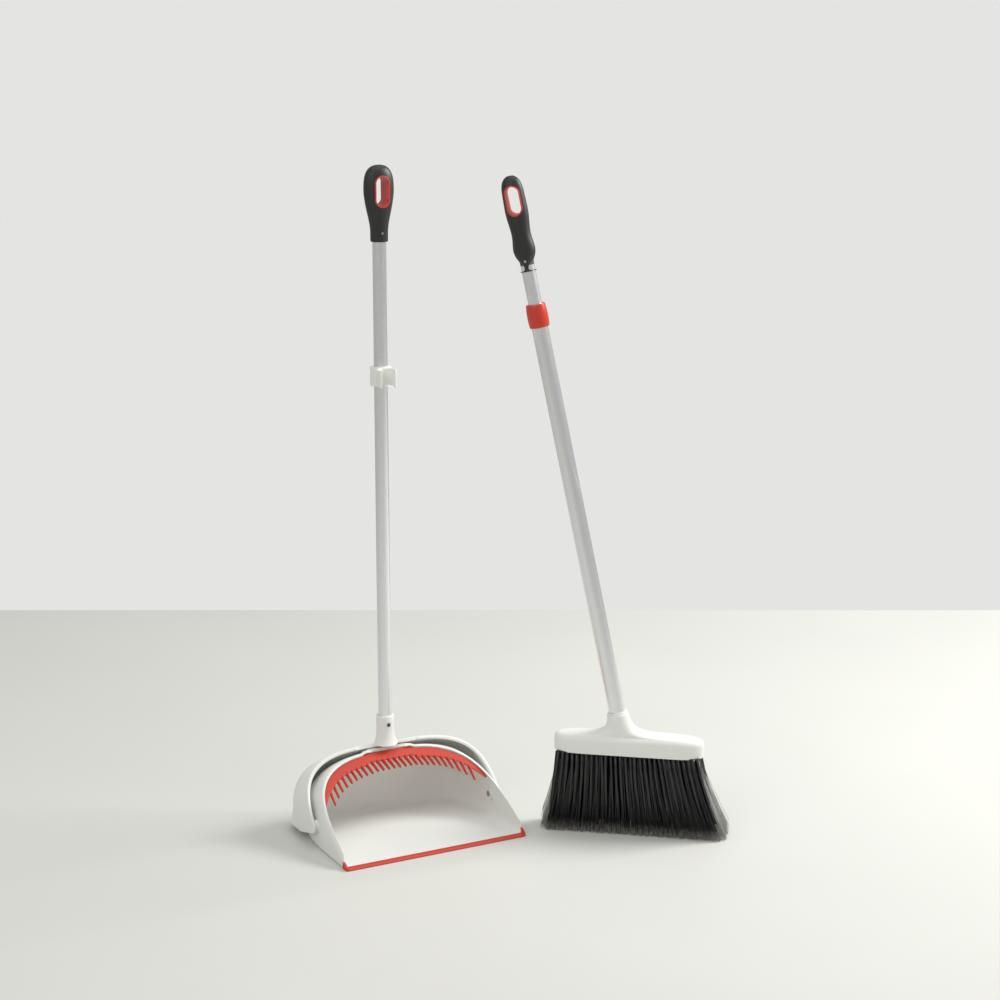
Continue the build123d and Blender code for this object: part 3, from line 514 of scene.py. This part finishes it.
def finish_cad(finish, *nodes, soften=0.0):
    """Gives CAD nodes their finish, and rounds their sharp edges by a width in millimetres."""
    for name in nodes:
        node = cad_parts[name]
        for slot in node.material_slots:
            slot.material = finish_named(finish)
        if soften:
            weld = node.modifiers.new("merge", "WELD")
            weld.merge_threshold = 0.005 * MM
            bevel = node.modifiers.new("soft_edges", "BEVEL")
            bevel.width = soften * MM
            bevel.segments = 3
            bevel.limit_method = "ANGLE"
            bevel.angle_limit = math.radians(40)
            bevel.harden_normals = True


# ---- dustpan pieces ------------------------------------------------------------------------
def hood_front(z):
    """Front edge of the hood at height z: the arm's sloping underside, its round end about the
    pivot, then the straight line of the mouth."""
    low = PIVOT_Z - ARM_RADIUS * math.cos(ARM_SLOPE)
    high = PIVOT_Z + ARM_RADIUS * math.cos(HOOD_MOUTH_SLOPE)
    under = PIVOT_Y - ARM_RADIUS * math.sin(ARM_SLOPE) + (low - z) / math.tan(ARM_SLOPE)
    end = PIVOT_Y - np.sqrt(np.maximum(ARM_RADIUS**2 - (z - PIVOT_Z) ** 2, 0))
    straight = HOOD_MOUTH_Y + z / math.tan(HOOD_MOUTH_SLOPE)
    return np.where(z < low, under, np.where(z < high, end, straight))


def pan_front(z):
    """Front edge of the pan at height z: behind the lip strip, then the line of the mouth."""
    behind_lip = -171.0 + 7.0 * np.clip(z / 3.0, 0, 1)
    return np.maximum(behind_lip, PAN_MOUTH_Y + z / math.tan(PAN_MOUTH_SLOPE))


def hood_form(sizes, inset):
    """The hood's outer form, or its inner one with the wall taken off."""
    return SimpleNamespace(half_width=sizes.hood_half_width - inset, height=sizes.hood_height - inset,
                           back_radius=sizes.hood_back_radius - inset, powers=(3.4, 4.4),
                           foot_power=6.0, top_power=2.3, front=hood_front)


def pan_form(sizes, inset):
    """The pan's outer form, or its inner one with the wall taken off."""
    return SimpleNamespace(half_width=sizes.pan_half_width - inset, height=sizes.pan_height - inset,
                           back_radius=sizes.pan_back_radius - inset, powers=(3.0, 3.5),
                           foot_power=5.0, top_power=2.2, front=pan_front)


class OBJECT_OT_dustpan_hood(bpy.types.Operator):
    """Builds the hood with its two arms and the socket for the handle"""
    bl_idname = "object.dustpan_hood"
    bl_label = "Hood"

    def execute(self, context):
        sizes = in_millimetres(context.scene.dustpan_sizes)
        turn = np.linspace(0, math.pi, 181)[None]
        share = np.concatenate([np.linspace(0, 0.25, 28)[:-1],
                                1 - 0.75 * (1 - np.linspace(0, 1, 64)) ** 1.9])[:, None]

        def heights(top):
            return sizes.hood_bottom + share * (top - sizes.hood_bottom)

        outer = bowl(heights(117.9), 0.0, hood_form(sizes, 0.0), turn)
        inner = bowl(heights(113.6), 0.0, hood_form(sizes, sizes.hood_wall), turn)
        ledge = rounded_block((-30, 30.6, 32.0), (30, 37.4, 37.0))
        white = finish_named("white_abs_moulded")
        hood = lay_mesh("hood_moulding", walled(outer, inner) + [self.socket(sizes), ledge], white)
        place_piece(hood, "dustpan_body", "white_plastic", "hood_shell")
        return {"FINISHED"}

    @staticmethod
    def socket(sizes):
        """Sleeve round the foot of the tube, with a bell-shaped skirt. The skirt's foot follows the
        circle of the hood's back behind the rim and is level in front of it; between foot and sleeve
        the radius falls with the 2.6th power of the share of the way left to the sleeve."""
        angle = np.linspace(0, 2 * math.pi, 72, endpoint=False)[None]
        x, y = np.cos(angle), np.sin(angle)
        spread = SKIRT_RADIUS + 4.0 * np.clip(y, 0, 1)
        dome = PIVOT_Z - 1.5 + np.sqrt(sizes.hood_back_radius**2 - (spread * y - PIVOT_Y) ** 2)
        foot = np.minimum(dome, SKIRT_FOOT_Z)
        rise = np.linspace(0, 1, 22)[:, None]
        height = foot + (SKIRT_TOP_Z - foot) * rise
        radius = SLEEVE_RADIUS + (spread - SLEEVE_RADIUS) * (1 - rise) ** 2.6
        skirt = np.stack(np.broadcast_arrays(radius * x, radius * y, height), axis=-1)
        rim = np.array([(150, SLEEVE_RADIUS), (158.6, SLEEVE_RADIUS), (159.5, 13.0),
                        (160.0, 12.2), (160.0, 10.6),
                        (159.6, 10.1), (150.0, 10.02), (140.0, 10.02)])[:, :, None]
        sleeve = np.stack(np.broadcast_arrays(rim[:, 1] * x, rim[:, 1] * y, rim[:, 0]), axis=-1)
        return surface(capped(np.concatenate([skirt, sleeve])), wrap_columns=True)


class OBJECT_OT_dustpan_pan(bpy.types.Operator):
    """Builds the swinging pan: floor, walls, raised rim, heel and pivot bosses"""
    bl_idname = "object.dustpan_pan"
    bl_label = "Pan"

    def execute(self, context):
        sizes = in_millimetres(context.scene.dustpan_sizes)
        turn = np.linspace(0, math.pi, 181)[None]
        wall = sizes.pan_wall

        def shell(form, floor, fillet, top):
            flat = np.linspace(0, 1, 26)[:, None]
            edge = bowl(np.full((1, 1), floor), fillet, form, turn)[0]
            pole = np.array([0.0, pan_front(floor), floor])
            base = pole + flat[:-1, :, None] * (edge - pole)
            arc = np.linspace(0, math.pi / 2, 12)[:, None]
            rounded = bowl(floor + fillet * (1 - np.cos(arc)), fillet * (1 - np.sin(arc)), form, turn)
            rise = 1 - (1 - np.linspace(0, 1, 70)[1:, None]) ** 1.8
            side = bowl(floor + fillet + rise * (top - floor - fillet), 0.0, form, turn)
            return self.raised_tab(np.concatenate([base, rounded, side]), sizes)

        outer = shell(pan_form(sizes, 0.0), 0.0, 4.0, 107.6)
        inner = shell(pan_form(sizes, wall), wall, sizes.floor_fillet, 105.2)
        heel = rounded_block((-45, 24.0, 1.0), (45, 33.4, 11.6), power=8.0)
        bosses = [turned([(139.0, 9.0), (148.4, 9.0), (149.2, 8.6), (149.4, 7.8)], 40,
                         (0, PIVOT_Y, PIVOT_Z), (side, 0, 0), (0, side, 0)) for side in (-1, 1)]
        pan = lay_mesh("pan_moulding", walled(outer, inner, with_bottom=False) + [heel] + bosses,
                       finish_named("white_abs_moulded"))
        place_piece(pan, "pan", "white_plastic", "pan_scoop")
        return {"FINISHED"}

    @staticmethod
    def raised_tab(grid, sizes):
        """Moves the rim's middle away from the pivot by the tab's height, with eased ends."""
        y, z = grid[..., 1] - PIVOT_Y, grid[..., 2] - PIVOT_Z
        angle = np.degrees(np.arctan2(z, y))
        across = 1 - ease(np.abs(grid[..., 0]), sizes.tab_half_width - 4.0, sizes.tab_half_width)
        lift = sizes.tab_height * across * ease(angle, 42.5, 45.5) * (z > 0) * (y > 0)
        away = unit(np.stack([np.zeros_like(y), y, z], axis=-1))
        return grid + lift[..., None] * away


def comb_arch(x, half_width, height):
    """Height of the comb's arch at x."""
    return height * np.clip(1 - (np.abs(x) / half_width) ** 3.0, 0, 1) ** (1 / 3.5)


def on_mouth(x, z, depth):
    """Point of the pan's mouth plane at x and height z, moved into the pan by a depth."""
    y = PAN_MOUTH_Y + z / math.tan(PAN_MOUTH_SLOPE) + depth * math.sin(PAN_MOUTH_SLOPE)
    return np.stack(np.broadcast_arrays(x, y, z - depth * math.cos(PAN_MOUTH_SLOPE)), axis=-1)


class OBJECT_OT_dustpan_comb(bpy.types.Operator):
    """Builds the comb's band and its teeth"""
    bl_idname = "object.dustpan_comb"
    bl_label = "Comb"

    def execute(self, context):
        sizes = in_millimetres(context.scene.dustpan_sizes)
        rubber = finish_named("red_tpe_moulded")
        band = lay_mesh("comb_band_moulding", [self.band(sizes)], rubber)
        place_piece(band, "pan", "red_rubber", "comb_band")
        teeth = lay_mesh("comb_teeth_moulding", [self.teeth(sizes)], rubber)
        place_piece(teeth, "pan", "red_rubber", "comb_teeth")
        return {"FINISHED"}

    @staticmethod
    def band(sizes):
        """Strip on the mouth plane between two superellipse arches. Its section is a rounded
        rectangle, and it narrows to a rounded point at each end."""
        x = COMB_HALF_LENGTH * np.sin(np.linspace(-math.pi / 2, math.pi / 2, 150))[:, None]
        lift = 2.0 * (1 - ease(np.abs(x), sizes.tab_half_width - 5.0, sizes.tab_half_width))
        upper = comb_arch(x, *COMB_UPPER_ARCH)
        lower = comb_arch(x, *COMB_LOWER_ARCH)
        taper = np.clip(1 - (np.abs(x) / COMB_HALF_LENGTH) ** 14, 0, 1) ** 0.6
        lower = upper - (upper - lower) * (0.12 + 0.88 * taper)
        angle = np.linspace(0, 2 * math.pi, 20, endpoint=False)[None]
        reach = (np.abs(np.cos(angle)) ** 4 + np.abs(np.sin(angle)) ** 4) ** -0.25
        middle, half = (upper + lower) / 2, (upper - lower) / 2
        depth = 2.2 - 1.4 * np.sin(angle) * reach * (0.3 + 0.7 * taper)
        grid = on_mouth(x + 0 * angle, middle + lift + half * np.cos(angle) * reach, depth)
        return surface(capped(grid), wrap_columns=True)

    @staticmethod
    def teeth(sizes):
        """Fins that leave the band forwards and droop. Their section is a rounded rectangle that is
        thicker at the root, lower at the tip, and closes in a quarter circle over the last stretch."""
        index = np.arange(sizes.tooth_count) - (sizes.tooth_count - 1) / 2
        x = (index * sizes.tooth_pitch)[:, None, None]
        edge = comb_arch(x, *TOOTH_ARCH)
        droop = np.radians(14.0 + 42.0 * (np.abs(x) / TOOTH_ARCH[0]) ** 3)
        lift = 1.2 * (1 - ease(np.abs(x), sizes.tab_half_width - 5.0, sizes.tab_half_width))
        root_y = PAN_MOUTH_Y + edge / math.tan(PAN_MOUTH_SLOPE) + 4.0
        root_z = edge - 2.0 + lift
        length = sizes.tooth_length
        run = np.array([-1.5, 0.0, 1.5, 3.5, 7.0, 12.0, 17.0, 20.0, 21.8, 22.8, 23.4, 23.8, 24.0])
        run = (run * length / 24.0)[None, :, None]
        past = np.clip((run - (length - 3.2)) / 3.2, 0, 1)
        tip = np.sqrt(np.clip(1 - past**2, 0.0004, 1))
        half_height = (3.5 - 1.2 * np.clip(run / length, 0, 1)) * tip
        half_thick = sizes.tooth_thickness / 2 * (1 + 0.45 * np.exp(-np.clip(run, 0, 99) / 2.2)) * tip
        angle = np.linspace(0, 2 * math.pi, 14, endpoint=False)[None, None]
        reach = (np.abs(np.cos(angle)) ** 3 + np.abs(np.sin(angle)) ** 3) ** (-1 / 3)
        rise = half_height * np.sin(angle) * reach
        grids = np.stack(np.broadcast_arrays(
            x + half_thick * np.cos(angle) * reach,
            root_y - run * np.cos(droop) - rise * np.sin(droop),
            root_z - run * np.sin(droop) + rise * np.cos(droop)), axis=-1)
        return repeated_tubes(grids)


class OBJECT_OT_dustpan_fittings(bpy.types.Operator):
    """Finishes the dustpan's tube, button, clip, lip, pins, grip and hanging ring"""
    bl_idname = "object.dustpan_fittings"
    bl_label = "Dustpan fittings"

    def execute(self, context):
        finish_cad("red_tpe_moulded", "lip_strip", soften=0.7)
        finish_cad("white_abs_moulded", "broom_clip", soften=0.6)
        finish_cad("aluminium_satin_anodised", "dustpan_tube")
        finish_cad("grey_abs_moulded", "snap_button", "dustpan_grip_core")
        finish_cad("stainless_steel_turned", "pivot_pins", "button_spring", "dustpan_grip_pin")
        finish_cad("black_tpe_soft_grip", "dustpan_grip", soften=0.5)
        finish_cad("red_abs_gloss", "dustpan_hang_ring", soften=0.5)
        return {"FINISHED"}


# ---- broom pieces --------------------------------------------------------------------------
def head_point(x, front, z):
    """Points at x along the head, a distance in front of its middle plane, and a height z."""
    x, front, z = np.broadcast_arrays(x, front, z)
    return HEAD_ORIGIN + x[..., None] * ALONG + front[..., None] * FORWARD + z[..., None] * UP


class OBJECT_OT_broom_block(bpy.types.Operator):
    """Builds the broom's block with its neck"""
    bl_idname = "object.broom_block"
    bl_label = "Broom block"

    def execute(self, context):
        # height, left end, right end, half depth, power of the plan, share of the pole's lean
        keys = [(122.0, -3.6, 215.3, 19.6, 8.0, 0.0), (122.5, -5.4, 217.1, 21.4, 8.0, 0.0),
                (124.5, -6.0, 217.7, 22.0, 8.0, 0.0), (132.0, -6.0, 217.7, 22.0, 8.0, 0.0),
                (140.0, -6.0, 217.7, 22.0, 8.0, 0.0), (144.6, -4.8, 216.5, 21.0, 8.0, 0.0),
                (147.8, -1.8, 213.0, 19.0, 7.6, 0.0), (149.6, 5.0, 205.0, 17.4, 7.0, 0.0),
                (150.4, 20.0, 184.0, 16.9, 6.0, 0.0), (151.4, 38.0, 158.0, 16.9, 4.6, 0.0),
                (153.4, 52.0, 139.0, 17.0, 3.4, 0.0), (157.0, 63.0, 123.5, 17.0, 2.6, 0.1),
                (162.0, 69.5, 114.6, 16.9, 2.2, 0.3), (170.0, 72.3, 108.6, 16.6, 2.0, 0.7),
                (178.0, 72.5, 105.3, 16.4, 2.0, 0.95), (181.2, 72.3, 104.1, 16.1, 2.0, 1.0),
                (182.0, 73.0, 103.4, 15.3, 2.0, 1.0)]
        rows = through(keys, 100)
        z, left, right, depth, power, lean = (rows[:, i:i + 1] for i in range(6))
        angle = np.linspace(0, 2 * math.pi, 144, endpoint=False)[None]
        half, middle = (right - left) / 2, (right + left) / 2
        x = half * np.cos(angle)
        front = depth * np.sign(np.sin(angle)) * np.sqrt(
            np.clip(1 - np.abs(np.cos(angle)) ** power, 0, 1))
        tilt = lean * POLE_LEAN
        body = head_point(middle + x * np.cos(tilt), front, z + x * np.sin(tilt))
        ring = np.array([(0.0, 12.3), (-4.0, 12.2)])
        mouth = (NECK_TOP + ring[:, :1, None] * POLE_WAY + ring[:, 1:2, None]
                 * (np.cos(angle[0])[:, None] * POLE_SIDE + np.sin(angle[0])[:, None] * FORWARD))
        block = lay_mesh("broom_block_moulding",
                         [surface(capped(np.concatenate([body, mouth])), wrap_columns=True)],
                         finish_named("white_abs_moulded"))
        place_piece(block, "broom", "white_plastic", "broom_block")
        return {"FINISHED"}


def filaments(rng, root_x, root_front, foot_x, foot_front, foot_z, top_z, thickness):
    """Filaments as thin three-sided tubes. Each runs from its root to its foot along a line that
    bows outwards with the square of the way down, thins towards its foot and wavers a little."""
    count = len(root_x)
    way = np.linspace(0, 1, 5)[None, :]
    bow = way**1.25
    waver = rng.normal(0, 0.8, (count, 1)) * np.sin(way * math.pi)
    x = root_x[:, None] + (foot_x - root_x)[:, None] * bow + waver
    front = (root_front[:, None] + (foot_front - root_front)[:, None] * bow
             + rng.normal(0, 0.5, (count, 1)) * np.sin(way * math.pi))
    z = top_z + (foot_z[:, None] - top_z) * way
    centre = head_point(x, front, z)
    radius = thickness / 2 * (1 - 0.35 * way)[..., None]
    angle = rng.uniform(0, 2 * math.pi, (count, 1, 1)) + np.arange(3)[None, None] * 2 * math.pi / 3
    ring = np.cos(angle)[..., None] * ALONG + np.sin(angle)[..., None] * FORWARD
    return repeated_tubes(centre[:, :, None] + radius[..., None] * ring)


class OBJECT_OT_broom_bristles(bpy.types.Operator):
    """Builds the five rows of black filament and the clear filaments at both ends"""
    bl_idname = "object.broom_bristles"
    bl_label = "Bristles"

    def execute(self, context):
        sizes = in_millimetres(context.scene.broom_sizes)
        rng = np.random.default_rng(7)
        for row in range(5):
            self.row(row, sizes, rng)
        self.clear_ends(sizes, rng)
        return {"FINISHED"}

    @staticmethod
    def row(row, sizes, rng):
        """One row: tufts evenly along the head, whose filaments fan out towards the floor."""
        tufts = np.linspace(0, 1, sizes.tufts_in_row)
        share = np.repeat(tufts, sizes.filaments_in_tuft)
        count = len(share)
        root_front = (row - 2) * -sizes.row_pitch
        spread = rng.normal(0, 0.5, (2, count)).clip(-1, 1)
        root_x = ROW_ROOT_START + share * ROW_ROOT_RUN + spread[0] * 1.6
        foot_share = np.clip(share + spread[0] * 0.022 + rng.normal(0, 0.007, count), -0.01, 1.012)
        foot_x = ROW_FOOT_START + foot_share * ROW_FOOT_RUN
        foot_front = root_front * 1.35 + spread[1] * 4.2
        foot_z = 0.6 + np.abs(rng.normal(0, 1.6, count)) + rng.choice([0, 7], count, p=[0.9, 0.1])
        core_x = np.linspace(2.5, 209.5, CORES_IN_ROW)
        core = filaments(rng, core_x, np.full(CORES_IN_ROW, root_front),
                         -8.0 + (core_x - 2.5) * 1.19, np.full(CORES_IN_ROW, root_front * 1.2),
                         np.full(CORES_IN_ROW, 26.0), sizes.bristle_top, 9.0)
        strands = filaments(rng, root_x, root_front + spread[1] * 1.5, foot_x, foot_front, foot_z,
                            sizes.bristle_top, sizes.filament)
        piece = lay_mesh(f"bristle_row_{row + 1}", [strands, core],
                         finish_named("black_pet_filament"), crease=180.0)
        place_piece(piece, "broom", "black_filament", f"tuft_row_{row + 1}")

    @staticmethod
    def clear_ends(sizes, rng):
        """Clear filaments outside the black ones at the head's two ends, splayed further out."""
        parts = []
        for side, root, foot in ((-1, 4.0, -15.0), (1, 209.0, 246.0)):
            count = 170
            out = rng.uniform(0, 1, count) ** 0.8
            front = rng.uniform(-1, 1, count)
            parts.append(filaments(rng, root + side * (out * 2.0 - 1.5), front * 17.0,
                                   foot + side * (out * 13.0 - 3.0), front * 20.5,
                                   0.8 + rng.uniform(0, 1, count) ** 3 * 22.0,
                                   sizes.bristle_top, sizes.filament * 0.75))
        piece = lay_mesh("clear_bristles", parts, finish_named("clear_pet_filament"), crease=180.0)
        place_piece(piece, "broom", "clear_filament", "clear_tufts")


class OBJECT_OT_broom_fittings(bpy.types.Operator):
    """Finishes the broom's tubes, collar, rings, grip and hanging ring"""
    bl_idname = "object.broom_fittings"
    bl_label = "Broom fittings"

    def execute(self, context):
        finish_cad("aluminium_satin_anodised_pole", "broom_lower_tube", "broom_upper_tube")
        finish_cad("white_abs_moulded", "neck_ring")
        finish_cad("grey_abs_moulded", "pole_collet", "guide_bush", "broom_grip_core")
        finish_cad("red_abs_gloss", "twist_collar", "broom_hang_ring", soften=0.5)
        finish_cad("black_tpe_soft_grip", "broom_grip", soften=0.5)
        finish_cad("stainless_steel_turned", "broom_grip_pin")
        return {"FINISHED"}


# ---- stage ---------------------------------------------------------------------------------
class OBJECT_OT_dustpan_stage(bpy.types.Operator):
    """Sets the floor, the soft lights and the camera"""
    bl_idname = "object.dustpan_stage"
    bl_label = "Stage"

    def execute(self, context):
        scene = context.scene
        scene.view_settings.view_transform = "Standard"
        ahead = np.array([-math.sin(CAMERA_HEADING), math.cos(CAMERA_HEADING), 0.0])
        right = np.array([math.cos(CAMERA_HEADING), math.sin(CAMERA_HEADING), 0.0])
        stand = np.array([*CAMERA_PLACE[:2], 0.0])
        far, near, wide = 4.474, -3.0, 5.0
        corners = [stand + ahead * a + right * b
                   for a, b in ((near, -wide), (near, wide), (far, wide), (far, -wide))]
        mesh = bpy.data.meshes.new("floor")
        mesh.from_pydata([tuple(c) for c in corners], [], [(0, 1, 2, 3)])
        mesh.materials.append(finish_named("sealed_floor_matt"))
        floor = bpy.data.objects.new("floor", mesh)
        scene.collection.objects.link(floor)

        self.soft_light("key", stand + ahead * 3.9 + right * 2.3 + UP * 2.1, (0.15, -0.05, 0.35),
                        1.3, 84.0)
        self.soft_light("fill", stand + ahead * 0.8 - right * 1.6 + UP * 2.6, (0.1, -0.1, 0.5),
                        2.6, 26.0)
        self.soft_light("top", stand + ahead * 3.2 + UP * 3.6, (0.1, -0.1, 0.0), 2.4, 24.0)

        # the room's even light is dimmer than the wall that the camera sees
        world = bpy.data.worlds.new("studio")
        world.use_nodes = True
        tree = world.node_tree
        tree.nodes.clear()
        colour = scene.dustpan_colours.backdrop
        light = add_node(tree, "ShaderNodeBackground", inputs={
            "Color": (*colour, 1.0), "Strength": ROOM_LIGHT})
        wall = add_node(tree, "ShaderNodeBackground", inputs={
            "Color": (*colour, 1.0), "Strength": 1.0})
        ray = add_node(tree, "ShaderNodeLightPath")
        seen = add_node(tree, "ShaderNodeMixShader", inputs={
            0: (ray, "Is Camera Ray"), 1: (light, "Background"), 2: (wall, "Background")})
        add_node(tree, "ShaderNodeOutputWorld", inputs={"Surface": (seen, "Shader")})
        scene.world = world

        camera = bpy.data.objects.new("camera", bpy.data.cameras.new("camera"))
        camera.data.lens = 85.0
        camera.data.sensor_width = 36.0
        camera.location = CAMERA_PLACE
        camera.rotation_euler = (CAMERA_TILT, 0.0, CAMERA_HEADING)
        scene.collection.objects.link(camera)
        scene.camera = camera
        return {"FINISHED"}

    @staticmethod
    def soft_light(name, place, target, size, power):
        """A square soft light that faces a target."""
        light = bpy.data.lights.new(name, "AREA")
        light.size = size
        light.energy = power
        lamp = bpy.data.objects.new(name, light)
        lamp.location = tuple(place)
        lamp.rotation_euler = (Vector(target) - Vector(place)).to_track_quat("-Z", "Y").to_euler()
        bpy.context.scene.collection.objects.link(lamp)


class VIEW3D_PT_dustpan(bpy.types.Panel):
    """Sizes, colours and the pieces to build"""
    bl_label = "Dustpan and broom"
    bl_space_type = "VIEW_3D"
    bl_region_type = "UI"
    bl_category = "Dustpan"

    def draw(self, context):
        for title, group in (("Dustpan", context.scene.dustpan_sizes),
                             ("Broom", context.scene.broom_sizes),
                             ("Colours", context.scene.dustpan_colours)):
            box = self.layout.box()
            box.label(text=title)
            for key in group.__annotations__:
                box.prop(group, key)
        for operator in OPERATORS:
            self.layout.operator(operator.bl_idname)


OPERATORS = (OBJECT_OT_dustpan_hood, OBJECT_OT_dustpan_pan, OBJECT_OT_dustpan_comb,
             OBJECT_OT_dustpan_fittings, OBJECT_OT_broom_block, OBJECT_OT_broom_bristles,
             OBJECT_OT_broom_fittings, OBJECT_OT_dustpan_stage)
GROUPS = {"dustpan_sizes": DustpanSizes, "broom_sizes": BroomSizes, "dustpan_colours": FinishColours}


def register():
    for group in GROUPS.values():
        bpy.utils.register_class(group)
    for key, group in GROUPS.items():
        setattr(bpy.types.Scene, key, bpy.props.PointerProperty(type=group))
    for kind in (*OPERATORS, VIEW3D_PT_dustpan):
        bpy.utils.register_class(kind)


def unregister():
    for kind in (VIEW3D_PT_dustpan, *reversed(OPERATORS)):
        bpy.utils.unregister_class(kind)
    for key in GROUPS:
        delattr(bpy.types.Scene, key)
    for group in GROUPS.values():
        bpy.utils.unregister_class(group)


def main():
    register()
    bpy.ops.object.dustpan_hood()
    bpy.ops.object.dustpan_pan()
    bpy.ops.object.dustpan_comb()
    bpy.ops.object.dustpan_fittings()
    bpy.ops.object.broom_block()
    bpy.ops.object.broom_bristles()
    bpy.ops.object.broom_fittings()
    bpy.ops.object.dustpan_stage()


if __name__ == "__main__":
    main()
